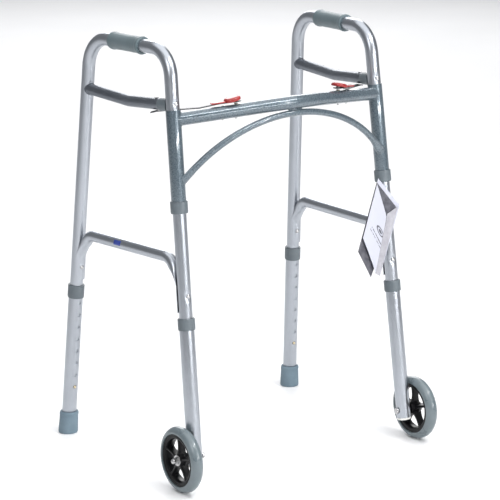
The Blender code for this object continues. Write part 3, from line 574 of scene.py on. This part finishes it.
MATERIALS = {
    "tube": anodised_tube(),
    "enamel": grey_enamel(),
    "brace": brace_enamel(),
    "vinyl": grip_vinyl(),
    "plastic": simple(
        "collar_plastic", (0.098, 0.120, 0.136), (0.124, 0.148, 0.164), (0.38, 0.52), grain=800.0
    ),
    "rubber": simple("tip_rubber", (0.130, 0.190, 0.235), (0.162, 0.228, 0.275), (0.55, 0.72), grain=500.0),
    "tyre": simple(
        "tyre_rubber", (0.118, 0.150, 0.165), (0.148, 0.182, 0.198), (0.22, 0.36), coat=0.35, grain=350.0
    ),
    "black": simple(
        "hub_plastic", (0.003, 0.003, 0.004), (0.006, 0.006, 0.007), (0.26, 0.42), grain=700.0, shine=0.22
    ),
    "red": simple(
        "paddle_plastic", (0.25, 0.012, 0.012), (0.33, 0.018, 0.017), (0.24, 0.36), coat=0.3, grain=500.0
    ),
    "steel": simple(
        "plated_steel", (0.42, 0.42, 0.42), (0.60, 0.60, 0.61), (0.22, 0.40), metallic=1.0, cloud=90.0
    ),
    # near-black colour of the latch plate: painted shade of its top and of the paddle's shadow along it
    "plate": simple(
        "plate_steel_painted_shade", (0.050, 0.050, 0.055), (0.090, 0.090, 0.095), (0.30, 0.45), metallic=1.0, cloud=90.0
    ),
    "brass": simple(
        "button_brass", (0.62, 0.52, 0.34), (0.78, 0.70, 0.52), (0.15, 0.28), metallic=1.0, cloud=150.0
    ),
    "white": simple("plug_plastic", (0.72, 0.72, 0.68), (0.80, 0.80, 0.77), (0.35, 0.50)),
    "card": simple(
        "tag_card", (0.46, 0.47, 0.545), (0.52, 0.53, 0.605), (0.45, 0.6),
        cloud=120.0, grain=900.0, strength=0.08,
    ),
    "print": printed_card(),
    # dark sheet over the inside of the tag's back leaf, darker than the light card behind it
    "dark_card": simple(
        "tag_dark_sheet", (0.055, 0.055, 0.07), (0.11, 0.11, 0.13), (0.35, 0.5),
        cloud=90.0, grain=900.0, strength=0.08,
    ),
    "grey_card": simple(
        "tag_paper", (0.33, 0.325, 0.36), (0.42, 0.415, 0.45), (0.5, 0.65),
        cloud=70.0, grain=900.0, strength=0.08,
    ),
    "sticker": simple(
        "blank_sticker", (0.022, 0.045, 0.26), (0.035, 0.065, 0.34), (0.3, 0.42), cloud=80.0, strength=0.05
    ),
}
MATERIALS["spring"] = MATERIALS["brass"]  # the latch spring shares the buttons' finish, in another slot


# ---------------------------------------------------------------- side frames


def side_tube(side, s):
    """Bent tube with a shallow dimple under each rivet."""
    foot = leg_point(s, "front", TUBE_END["front"])
    heel = leg_point(s, "rear", TUBE_END["rear"])
    corners = [foot, rail_corner(s, "front"), rail_corner(s, "rear"), heel]
    path = bent_path(corners, [FRONT_BEND, REAR_BEND])
    outer, inner = tube_rings(path, side_normal(s), TUBE_R, TUBE_WALL)
    dimples = [
        ("front", UPPER_RIVET, 0.0022, 0.0072),
        ("front", LOWER_RIVET["front"], 0.0022, 0.0072),
        ("rear", LOWER_RIVET["rear"], 0.0010, 0.0066),
    ]
    for end, z, depth, size in dimples:
        inward = leg_inward(s, end)
        outer = dimple(outer, leg_point(s, end, z) - inward * TUBE_R, inward, depth, size)
    surface = ring_surface(np.concatenate([outer, inner]), wrap=True)
    refine("side_tube", side, [surface], f"side_frame_{side}", "tube")


def grip(side, s):
    """Vinyl sleeve: a waist between two soft rims, each a bell curve of the height."""
    start = rail_point(s, GRIP_Y[0])
    axis = rail_point(s, GRIP_Y[1]) - start
    length = np.linalg.norm(axis)
    bore = TUBE_R + 0.00015
    shoulder = 0.0159
    h = np.linspace(0.0, 1.0, 60)
    waist = 0.0163 - 0.0005 * np.sin(pi * h)
    rim = 0.0011 * (np.exp(-(((h - 0.03) / 0.035) ** 2)) + np.exp(-(((0.95 - h) / 0.05) ** 2)))
    profile = np.stack([waist + rim, 0.0012 + (length - 0.0024) * h], axis=-1)
    near_end = [(bore, 0.0), (0.0148, 0.0), (shoulder, 0.0005)]
    far_end = [(shoulder, length - 0.0005), (0.0148, length), (bore, length)]
    outline = np.concatenate([near_end, profile, far_end])
    surface = turned(outline, start, axis, 56, ring=True)
    refine("grip", side, [surface], f"side_frame_{side}", "vinyl")


def upper_brace(side, s):
    """Kinked tube whose ends are shaped to the rear leg and to the saddle."""
    rear = side_point(s, 0.1778, 0.7130)
    kink = side_point(s, 0.0375, 0.7090)
    front = side_point(s, -0.1022, 0.7210)
    backward = unit(rear - kink)
    forward = unit(front - kink)
    path = bent_path([rear - backward * 0.020, kink, front - forward * 0.0290], [BRACE_KINK])
    outer, inner = tube_rings(path, side_normal(s), BRACE_R, BRACE_WALL, 40)
    for rings, first, last in ((outer, 0, -1), (inner, -1, 0)):
        rings[first] = meet_leg(rings[first], backward, s, "rear", TUBE_R + FIT)
        rings[last] = meet_leg(rings[last], forward, s, "front", SADDLE_SEAT_R)
    surface = ring_surface(np.concatenate([outer, inner]), wrap=True)
    weld = bead(outer[0], backward, 0.0011)
    body = f"side_frame_{side}"
    refine("upper_brace", side, [surface, weld], body, "brace")
    along = np.linspace(0.0, 1.0, 24)
    saddle_path = front - (0.0180 + 0.0200 * along)[:, None] * forward
    swell = 0.0121 - 0.0009 * along**12
    rings = section_rings(saddle_path, side_normal(s), swell, swell, 40)
    rings[0] = meet_leg(rings[0], forward, s, "front", SADDLE_BORE_R)
    refine("brace_saddle", side, [capped(rings)], body, "plastic")


def lower_brace(side, s):
    """Tube whose ends are pressed into a trough round each leg.

    A section goes from a circle beside the leg to a crescent on it: a band of half thickness h, bent
    round the leg's axis through angles cos(a).
    """
    offset = TUBE_R + 0.0006 + BRACE_R
    normal = side_normal(s)
    ends = []
    for end, slope in (("front", FRONT_LEG[1]), ("rear", REAR_LEG[1])):
        low = leg_point(s, end, LOWER_FOOT[end]) + leg_inward(s, end) * offset
        rise = (LOWER_LEVEL[0] + LOWER_LEVEL[1] * low[1] - low[2]) / (1.0 - slope * LOWER_LEVEL[1])
        ends.append((low, side_point(s, low[1] + slope * rise, low[2] + rise)))
    path = bent_path([ends[0][0], ends[0][1], ends[1][1], ends[1][0]], [LOWER_BEND, LOWER_BEND], 0.0022)
    along = np.concatenate([[0.0], np.cumsum(np.linalg.norm(np.diff(path, axis=0), axis=1))])
    blend = np.minimum((along - 0.050) / 0.040, (along[-1] - along - 0.045) / 0.040)
    blend = eased(blend)[:, None]
    tangent = np.gradient(path, axis=0)
    tangent /= np.linalg.norm(tangent, axis=1, keepdims=True)
    inward = np.cross(tangent, normal)
    inward *= np.sign(inward[0] @ leg_inward(s, "front"))
    a = angles(48)
    thick = 0.0015 * squarish(a, 0.6)[1]
    stack = []
    for half in (0.0, 1.0):
        band = TUBE_R + 0.0021 + half * thick
        w = band * np.sin(np.cos(a)) * (1.0 - blend) + BRACE_R * np.cos(a) * blend
        depth = (band * np.cos(np.cos(a)) - offset) * (1.0 - blend) + BRACE_R * np.sin(a) * blend
        stack.append(path[:, None, :] + normal * w[..., None] + inward[:, None, :] * depth[..., None])
    rings = np.concatenate([stack[0][:1], stack[1], stack[0][-1:]])
    refine("lower_brace", side, [ring_surface(rings)], f"side_frame_{side}", "tube")


def domed(radius, height, shank, length, tail=None):
    """Outline of a rivet: a dome, its shank and an optional pressed tail."""
    a = np.linspace(0.0, pi / 2.0, 9)
    dome = np.stack([radius * np.sin(a), -height * np.cos(a)], axis=-1)
    rest = [(radius, 0.0004), (shank, 0.0004), (shank, length)]
    if tail:
        rest += [(tail, length), (tail, length + 0.0008), (0.6 * tail, length + 0.0016)]
    return np.concatenate([dome, rest, [(0.0, rest[-1][1])]])


def rivets(side, s):
    """Domed rivets: one in the front leg, one through each end of the lower brace."""
    backward = leg_inward(s, "front")
    rearward = -leg_inward(s, "rear")
    outer_seat = TUBE_R - 0.0012
    inner_seat = TUBE_R + 0.0034
    tail = 0.0034
    rows = [
        ("leg_rivet", "front", UPPER_RIVET, backward, outer_seat, 0.0024, 0.0060, None),
        ("front_brace_rivet", "front", LOWER_RIVET["front"], backward, outer_seat, 0.0022, 0.0315, tail),
        ("rear_brace_rivet", "rear", LOWER_RIVET["rear"], rearward, inner_seat, 0.0022, 0.0305, tail),
    ]
    for part, end, z, axis, seat, height, length, tail in rows:
        outline = domed(0.0042, height, 0.0022, length, tail)
        start = leg_point(s, end, z) - axis * seat
        refine(part, side, [turned(outline, start, axis, 32)], f"side_frame_{side}", "steel")


def upright(node):
    """Foot of a standing node's middle line, and the heights of its ends."""
    low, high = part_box(node)
    return np.array([0.5 * (low.x + high.x), 0.5 * (low.y + high.y), 0.0]), low.z, high.z


def catch_pin(side):
    """Headed pin under the upper brace."""
    foot, low, high = upright(f"catch_pin_{side}")
    shank = 0.0024
    neck = high - 0.0022
    rim = high - 0.0006
    outline = [(0.0, low), (shank, low), (shank, neck), (0.0042, neck), (0.0040, rim), (0.0, high)]
    surface = turned(rounded(outline, 0.0005, closed=False), foot, UP, 32)
    refine("catch_pin", side, [surface], f"side_frame_{side}", "steel")


# ---------------------------------------------------------------- front brace


def crossbar():
    """Bowed tube whose ends are shaped to the sleeves, with a weld bead at each."""
    path = crossbar_point(np.linspace(-CROSSBAR_REACH, CROSSBAR_REACH, 150))
    bow = crossbar_point(0.0) - crossbar_point(CROSSBAR_HALF)
    normal = unit([0.0, -bow[2], bow[1]])
    outer, inner = tube_rings(path, normal, TUBE_R, TUBE_WALL)
    welds = []
    for s, i, j in ((-1.0, 0, -1), (1.0, -1, 0)):
        run = unit(crossbar_point(s * CROSSBAR_REACH) - crossbar_point(s * 0.200))
        outer[i] = meet_leg(outer[i], run, s, "front", SLEEVE_R + FIT)
        inner[j] = meet_leg(inner[j], run, s, "front", SLEEVE_R + FIT)
        welds.append(bead(outer[i], run, 0.0013))
    surface = ring_surface(np.concatenate([outer, inner]), wrap=True)
    make("crossbar_fine", [surface] + welds, "front_brace", "enamel", ["crossbar"])


def arch_brace():
    """Round arc whose flattened ends lie against the sleeves, with a bead where it meets the crossbar.

    The arc's height is sqrt(radius^2 - x^2) - radius + height.
    """
    low = np.array([0.0, *ARCH_END])
    rise = np.array([0.0, *ARCH_MIDDLE]) - low
    height = np.linalg.norm(rise)
    radius = (ARCH_HALF**2 + height**2) / (2.0 * height)
    x = np.linspace(-ARCH_REACH, ARCH_REACH, 120)
    lift = np.sqrt(radius**2 - x * x) - radius + height
    path = low + x[:, None] * ACROSS + unit(rise) * lift[:, None]
    flare = eased(1.0 - (ARCH_REACH - np.abs(x)) / ARCH_FLARE)
    thin = ARCH_R + (ARCH_THIN - ARCH_R) * flare
    wide = ARCH_R + (ARCH_WIDE - ARCH_R) * flare
    rings = section_rings(path, unit([0.0, -rise[2], rise[1]]), thin, wide, 32)
    welds = []
    for s, i, j in ((-1.0, 0, 3), (1.0, -1, -4)):
        run = unit(path[i] - path[j])
        rings[i] = meet_leg(rings[i], run, s, "front", SLEEVE_R + FIT)
        welds.append(bead(rings[i], run, 0.0009))
    a = angles(40)
    seam = np.stack([0.0150 * np.cos(a), ARCH_MIDDLE[0] + 0.0030 * np.sin(a), 0.6984 + 0.0 * a], axis=-1)
    welds.append(bead(seam, UP, 0.0013))
    make("arch_brace_fine", [capped(rings)] + welds, "front_brace", "enamel", ["arch_brace"])


def leg_ring(part, where, s, end, outline, body, finish):
    """Ring turned about a leg; the outline's heights are measured along the leg from its first one's Z."""
    z0 = outline[0][1]
    points = rounded([(r, (z - z0) / leg_axis(s, end)[2]) for r, z in outline], 0.0010)
    surface = turned(points, leg_point(s, end, z0), leg_axis(s, end), 48, ring=True)
    return refine(part, where, [surface], body, finish)


def sleeves(side, s):
    """Painted sleeve about the front leg, and the bushing under it."""
    bore, low, high = 0.0132, 0.5443, 0.7122
    outline = [(bore, low), (SLEEVE_R, low), (SLEEVE_R, high), (bore, high)]
    leg_ring("sleeve", side, s, "front", outline, "front_brace", "enamel")
    bore, low, high = 0.0129, 0.5215, 0.5440
    outline = [(bore, low), (0.0160, low), (COLLAR_R, low + 0.0025), (COLLAR_R, high), (bore, high)]
    leg_ring("bushing", side, s, "front", outline, "front_brace", "plastic")


# ---------------------------------------------------------------- latches


def bolt_crest(s):
    """Top of the crossbar over the latch bolt."""
    return crossbar_point(s * BOLT_X) + UP * TUBE_R


def latch(side, s):
    """Bolt, guide rivet, coil spring, sprung plate and paddle."""
    crest = bolt_crest(s)
    shank, head = 0.0022, 0.0038
    low, neck, top = -0.0151, 0.0193, 0.0209
    outline = [(0.0, low), (shank, low), (shank, neck), (head, neck), (head, top), (0.0, top)]
    surface = turned(rounded(outline, 0.0005, closed=False), crest - UP * TUBE_R, UP, 32)
    refine("latch_bolt", side, [surface], "front_brace", "steel")
    foot, low, high = upright(f"guide_rivet_{side}")
    shank = 0.0018
    neck = high - 0.0006
    outline = [(0.0, low), (shank, low), (shank, neck), (0.0027, neck), (0.0, high)]
    surface = turned(rounded(outline, 0.0004, closed=False), foot, UP, 28)
    refine("guide_rivet", side, [surface], "front_brace", "steel")
    t = np.linspace(0.0, 1.0, 120)
    a = TURN * 1.4 * t
    out = np.stack([np.cos(a), np.sin(a), 0.0 * a], axis=-1)
    coil = crest + out * 0.0036 + UP * (0.0007 + 0.0008 * t)[:, None]
    refine("latch_spring", side, [capped(cord_rings(coil, out, UP, 0.0004))], "front_brace", "spring")
    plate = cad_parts[f"latch_plate_{side}"]
    # the plate gets the near-black finish, which holds painted shade
    plate.data.materials.clear()
    plate.data.materials.append(MATERIALS["plate"])
    paddle(side, s, crest)


def paddle(side, s, crest):
    """Lozenge pad: a superellipse in plan under a flattened dome, with a thin tab along the bar."""
    step = crossbar_point(s * (BOLT_X + 0.001)) - crossbar_point(s * (BOLT_X - 0.001))
    along = unit([step[0], step[1], 0.0])
    across = np.array([-along[1] * s, along[0] * s, 0.0])
    bar = unit(along + UP * -0.078)
    along = unit(along + UP * -0.26)
    up = np.cross(along, across) * s
    shift = bar * 0.0060 + across * 0.0020
    a = angles(72)
    u, v = squarish(a, 0.85)
    b = np.linspace(0.0, pi / 2.0, 16)
    scale = np.concatenate([[0.0, 0.93, 0.99, 1.0], np.cos(b) ** 0.45])
    height = np.concatenate([[0.0002, 0.0002, 0.0006, 0.0014], 0.0034 + 0.0044 * np.sin(b)])
    flat = along * u[:, None] * 0.0158 + across * v[:, None] * 0.0146
    rings = crest + UP * 0.0068 + shift + scale[:, None, None] * flat[None] + up * height[:, None, None]
    u, v = squarish(a, 0.35)
    tab = bar * (0.0160 * u)[:, None] + across * (0.0060 * v)[:, None]
    middle = crest + UP * 0.0046 + shift + bar * 0.0270
    levels = [(0.0, 0.0008), (0.95, 0.0008), (1.0, 0.0012), (1.0, 0.0032), (0.95, 0.0036), (0.0, 0.0036)]
    tab_rings = np.stack([middle + tab * k + up * h for k, h in levels])
    refine("paddle", side, [ring_surface(rings), ring_surface(tab_rings)], f"latch_{side}", "red")


# ---------------------------------------------------------------- legs and wheels


def extension(side, s, end):
    """Inner leg with its row of holes, the collar above it and the snap button."""
    corner = f"{end}_{side}"
    body = f"leg_{corner}"
    low, high = EXTENSION_Z[end]
    bore = 0.0130
    outline = [(bore, low), (SLEEVE_R, low), (SLEEVE_R, high), (bore, high)]
    piece = leg_ring("extension", corner, s, end, outline, body, "tube")
    facing = leg_inward(s, end)
    first = leg_point(s, end, CLIP_Z[end])
    centres = [first + leg_axis(s, end) * HOLE_PITCH * k for k in range(HOLES)]
    drill(piece, [(centre + facing * 0.008, centre + facing * 0.02, HOLE_R) for centre in centres])
    low, high = COLLAR_Z[end]
    bore, lip = 0.01445, 0.0129
    outline = [
        (bore, low), (0.0160, low), (COLLAR_R, low + 0.003), (COLLAR_R, high - 0.0015), (0.0158, high),
        (lip, high), (lip, high - 0.0020), (bore, high - 0.0022),
    ]
    leg_ring("collar", corner, s, end, outline, body, "plastic")
    a = np.linspace(0.0, pi / 2.0, 8)
    button = 0.0032
    dome = np.stack([button * np.cos(a), SLEEVE_R + 0.0006 + 0.0026 * np.sin(a)], axis=-1)
    outline = np.concatenate([[(0.0, 0.0098), (button, 0.0098)], dome])
    surfaces = [turned(outline, first, facing, 32), snap_leaf(s, end, first, facing)]
    refine("snap_clip", corner, surfaces, f"clip_{corner}", "brass")


def snap_leaf(s, end, foot, facing):
    """Folded leaf spring behind the button: a thin closed strip along a V."""
    up = leg_axis(s, end)
    out = np.array([0.0101, 0.0101, 0.0050, -0.0010, -0.0056])
    height = np.array([-0.008, 0.009, 0.030, 0.030, 0.006])
    path = foot + out[:, None] * facing + height[:, None] * up
    return capped(section_rings(path, side_normal(s), 0.0032, 0.0003, 8))


def tip(side, s):
    """Flared rubber foot with a rounded base edge and a shoulder ring at the top."""
    foot = leg_point(s, "rear", 0.0)
    bore, top, base = 0.0145, 0.0458, 0.0068
    outline = [
        (0.0, 0.0), (0.0190, 0.0), (0.01975, 0.0030), (0.0196, 0.0095), (0.0186, 0.0375), (0.0190, 0.0385),
        (0.0189, 0.0425), (0.0176, top), (bore, top), (bore, base), (0.0, base),
    ]
    verts, quads = turned(rounded(outline, 0.0012, closed=False), np.zeros(3), UP, 56)
    lean = (leg_point(s, "rear", 0.046) - foot) / 0.046
    verts = foot + verts * np.array([1.0, 1.0, 0.0]) + verts[:, 2:] * lean
    refine("tip", side, [(verts, quads)], f"leg_rear_{side}", "rubber")


def plug(side, s):
    """Flanged end plug of a front leg."""
    shank, rim, top = 0.0126, 0.0042, 0.0105
    outline = [
        (0.0, 0.0), (0.0128, 0.0), (SLEEVE_R, 0.0014), (SLEEVE_R, rim), (shank, rim), (shank, top),
        (0.0, top),
    ]
    foot = leg_point(s, "front", 0.0445)
    surface = turned(rounded(outline, 0.0006, closed=False), foot, leg_axis(s, "front"), 48)
    refine("plug", side, [surface], f"leg_front_{side}", "white")


def wheel(side, s):
    """Moulded wheel with a half-round tyre, and its axle."""
    x, y, z = WHEEL
    foot = np.array([0.0, y, z])
    axis = np.array([s, 0.0, 0.0])
    body = f"wheel_{side}"
    rim_r = z - TREAD_R - GAP
    a = np.linspace(-pi / 2.0, pi / 2.0, 28)
    tread = np.stack([rim_r + GAP + TREAD_R * np.cos(a), x + TREAD_R * np.sin(a)], axis=-1)
    tread = np.concatenate([tread, [(rim_r + FIT, x + 0.0118), (rim_r + FIT, x - 0.0118)]])
    refine("tyre", side, [turned(tread, foot, axis, 128, ring=True)], body, "tyre")
    rim = [
        (0.0425, x - 0.0100), (rim_r, x - 0.0104), (rim_r, x + 0.0104), (0.0425, x + 0.0100),
        (0.0405, x + 0.0040), (0.0405, x - 0.0040),
    ]
    lip = [(0.0452, x + 0.0098), (0.0470, x + 0.0098), (0.0468, x + 0.0112), (0.0454, x + 0.0112)]
    boss = [
        (0.0034, x - 0.0145), (0.0105, x - 0.0145), (0.0130, x - 0.0040), (0.0145, x), (0.0130, x + 0.0040),
        (0.0112, x + 0.0088), (0.0034, x + 0.0088),
    ]
    surfaces = [
        turned(rounded(rim, 0.0010), foot, axis, 96, ring=True),
        turned(rounded(lip, 0.0004), foot, axis, 96, ring=True),
        turned(rounded(boss, 0.0012), foot, axis, 64, ring=True),
    ]
    surfaces += [spoke(s, k) for k in range(SPOKES)]
    refine("hub", side, surfaces, body, "black")
    axle(side, foot, axis)


def axle(side, foot, axis):
    """Bolt through the wheel, with a washer and a domed nut; heights are measured from the middle plane."""
    body = f"leg_front_{side}"
    shank = 0.0031
    head, neck, end = 0.2303, 0.2349, 0.2896
    bolt = [
        (0.0, head), (0.0058, head), (0.0062, 0.2312), (0.0062, neck), (shank, neck), (shank, end),
        (0.0, end),
    ]
    surface = turned(rounded(bolt, 0.0006, closed=False), foot, axis, 40)
    refine("axle_bolt", side, [surface], body, "steel")
    washer = rounded([(0.0034, 0.2886), (0.0105, 0.2886), (0.0105, 0.2900), (0.0034, 0.2900)], 0.0003)
    a = np.linspace(0.0, pi / 2.0, 10)
    cap = np.stack([0.0056 * np.cos(a), 0.2972 + 0.0048 * np.sin(a)], axis=-1)
    nut = np.concatenate([[(0.0, 0.2902), (0.0072, 0.2902), (0.0072, 0.2932), (0.0056, 0.2938)], cap])
    surfaces = [turned(washer, foot, axis, 40, ring=True), turned(nut, foot, axis, 40)]
    refine("axle_nut", side, surfaces, body, "steel")


def spoke(s, k):
    """Deep tapered spoke: half thickness falls from boss to rim, half depth follows a shallow arch."""
    x, y, z = WHEEL
    turn = pi / 2.0 + TURN * k / SPOKES
    out = np.array([0.0, cos(turn), sin(turn)])
    side_way = np.array([0.0, -sin(turn), cos(turn)])
    t = np.linspace(0.0, 1.0, 14)
    path = np.array([s * x, y, z]) + out * (0.0115 + 0.0300 * t)[:, None]
    thick = 0.0031 - 0.0010 * t + 0.0016 * (2.0 * t - 1.0) ** 4
    deep = 0.0090 - 0.0016 * np.sin(pi * t)
    u, v = squarish(angles(24), 0.35)
    width = side_way * (thick[:, None] * u)[..., None]
    depth = ACROSS * (deep[:, None] * v)[..., None]
    return capped(path[:, None, :] + width + depth)


# ---------------------------------------------------------------- tag and sticker


def leaf(name, corners, lift, curl, finish, replaces=()):
    """Thin sheet over a four-sided outline: a bilinear patch in u (down) and v (across).

    It curls forwards by curl * sin(pi v) * (0.4 + 0.6 u).
    """
    corners = np.array([(x, FRONT_LEG[0] + FRONT_LEG[1] * z - lift, z) for x, z in corners])
    u = np.linspace(0.0, 1.0, 25)[:, None, None]
    v = np.linspace(0.0, 1.0, 25)[None, :, None]
    top = corners[0] * (1 - v) + corners[1] * v
    base = corners[3] * (1 - v) + corners[2] * v
    forward = np.array([0.0, -1.0, 0.0])
    sheet = top * (1 - u) + base * u + forward * (curl * np.sin(pi * v) * (0.4 + 0.6 * u))
    front = sheet + forward * 0.0004
    rows, columns = sheet.shape[:2]
    total = rows * columns
    index = np.arange(total).reshape(rows, columns)
    quads = [index[:-1, :-1], index[:-1, 1:], index[1:, 1:], index[1:, :-1]]
    quads = np.stack(quads, axis=-1).reshape(-1, 4)
    loop = np.concatenate([index[:-1, 0], index[-1, :-1], index[:0:-1, -1], index[0, :0:-1]])
    ahead = np.roll(loop, -1)
    rim = np.stack([loop, ahead, ahead + total, loop + total], axis=-1)
    points = np.concatenate([sheet.reshape(-1, 3), front.reshape(-1, 3)])
    faces = np.concatenate([quads, quads + total, rim])
    return make(name, [(points, faces)], "side_frame_right", finish, replaces)


def tag():
    """Paper tag in front of the right front leg: four leaves, the back one first; corners are (x, z)."""
    edge = [(0.2158, 0.5325), (0.2640, 0.4745), (0.2040, 0.3440), (0.1560, 0.4000)]
    back = [(0.2110, 0.5260), (0.2540, 0.4720), (0.1800, 0.3430), (0.1535, 0.3975)]
    margin = [(0.2300, 0.4620), (0.2575, 0.4728), (0.2005, 0.3435), (0.1900, 0.3500)]
    front = [(0.2082, 0.5235), (0.2255, 0.4575), (0.1890, 0.3520), (0.1645, 0.4235)]
    leaf("tag_edge_leaf", edge, 0.0160, 0.0005, "card")
    # the back leaf is the dark sheet, just in front of the lighter edge leaf
    leaf("tag_back_leaf", back, 0.0168, 0.0005, "dark_card")
    leaf("tag_margin_leaf", margin, 0.0188, 0.0004, "grey_card", ["tag_booklet"])
    leaf("tag_front_leaf", front, 0.0214, 0.0012, "print", ["tag_card"])


def sticker():
    """Blank sticker wrapped round the outer face of the left lower brace."""
    s = -1.0
    y = np.linspace(0.046, 0.068, 20)
    path = np.array([side_point(s, v, LOWER_LEVEL[0] + LOWER_LEVEL[1] * v) for v in y])
    a = np.linspace(-0.15, 0.75, 20)
    up = unit(np.cross(unit(path[1] - path[0]), side_normal(s)))
    around = side_normal(s) * np.cos(a)[:, None] + up * np.sin(a)[:, None]
    outer = path[:, None, :] + around[None] * (BRACE_R + 0.00022)
    inner = path[:, None, :] + around[None] * (BRACE_R + 0.00006)
    rings = np.concatenate([outer, inner[:, ::-1]], axis=1)
    make("brace_sticker", [capped(rings)], "side_frame_left", "sticker")


# ---------------------------------------------------------------- studio


def studio():
    """Wide pale floor, a dim sky and area lamps; each lamp faces its aim point."""
    floor_mesh = bpy.data.meshes.new("floor")
    size = 14.0
    corners = [(-size, -size, 0.0), (size, -size, 0.0), (size, size, 0.0), (-size, size, 0.0)]
    floor_mesh.from_pydata(corners, [], [(0, 1, 2, 3)])
    dark, light = (0.86, 0.86, 0.865), (0.88, 0.88, 0.885)
    floor_mesh.materials.append(simple("pale_floor", dark, light, (0.6, 0.7), cloud=2.0, strength=0.02))
    placed("floor", floor_mesh)
    world = bpy.data.worlds.new("studio")
    bpy.context.scene.world = world
    bpy.context.scene.view_settings.view_transform = "Standard"
    world.use_nodes = True
    sky = world.node_tree.nodes["Background"]
    sky.inputs["Color"].default_value = (0.94, 0.96, 1.0, 1.0)
    sky.inputs["Strength"].default_value = 0.30
    centre = (0.0, 0.0, 0.4)
    lights = [
        ("key", (-2.6, -1.6, 2.4), centre, 1.2, 2.0, 34.0),
        ("strip", (1.0, -3.0, 1.8), centre, 0.10, 2.2, 24.0),
        ("bar", (0.5, -1.9, 3.0), centre, 2.6, 0.07, 60.0),
        ("low_bar", (0.5, -3.6, 1.0), centre, 2.8, 0.07, 34.0),
        ("top", (0.0, 0.3, 3.6), centre, 4.0, 4.0, 76.0),
        ("far", (3.0, 4.6, 3.2), centre, 3.4, 3.4, 145.0),
        ("near", (-2.0, -5.2, 3.4), (-2.8, -6.8, 0.0), 6.0, 4.0, 190.0),
    ]
    for name, place, aim, width, height, power in lights:
        lamp = bpy.data.lights.new(name, "AREA")
        lamp.shape = "RECTANGLE"
        lamp.size = width
        lamp.size_y = height
        lamp.energy = power
        item = placed(name, lamp)
        item.location = place
        item.rotation_euler = (Vector(aim) - Vector(place)).to_track_quat("-Z", "Y").to_euler()


def camera():
    """Camera 14.4 degrees above the horizon, 34.7 degrees to the left of the front."""
    turn = radians(34.72)
    fall = radians(14.356)
    view = Vector((sin(turn) * cos(fall), cos(turn) * cos(fall), -sin(fall)))
    lens = bpy.data.cameras.new("camera")
    lens.lens = 173.5
    lens.sensor_width = 36.0
    item = placed("camera", lens)
    item.location = (-2.6169, -3.7904, 1.5679)
    item.rotation_euler = view.to_track_quat("-Z", "Y").to_euler()
    bpy.context.scene.camera = item


camera()
studio()
crossbar()
arch_brace()
for side, s in SIDES.items():
    side_tube(side, s)
    grip(side, s)
    upper_brace(side, s)
    lower_brace(side, s)
    rivets(side, s)
    catch_pin(side)
    sleeves(side, s)
    latch(side, s)
    for end in ("front", "rear"):
        extension(side, s, end)
    tip(side, s)
    plug(side, s)
    wheel(side, s)
tag()
sticker()
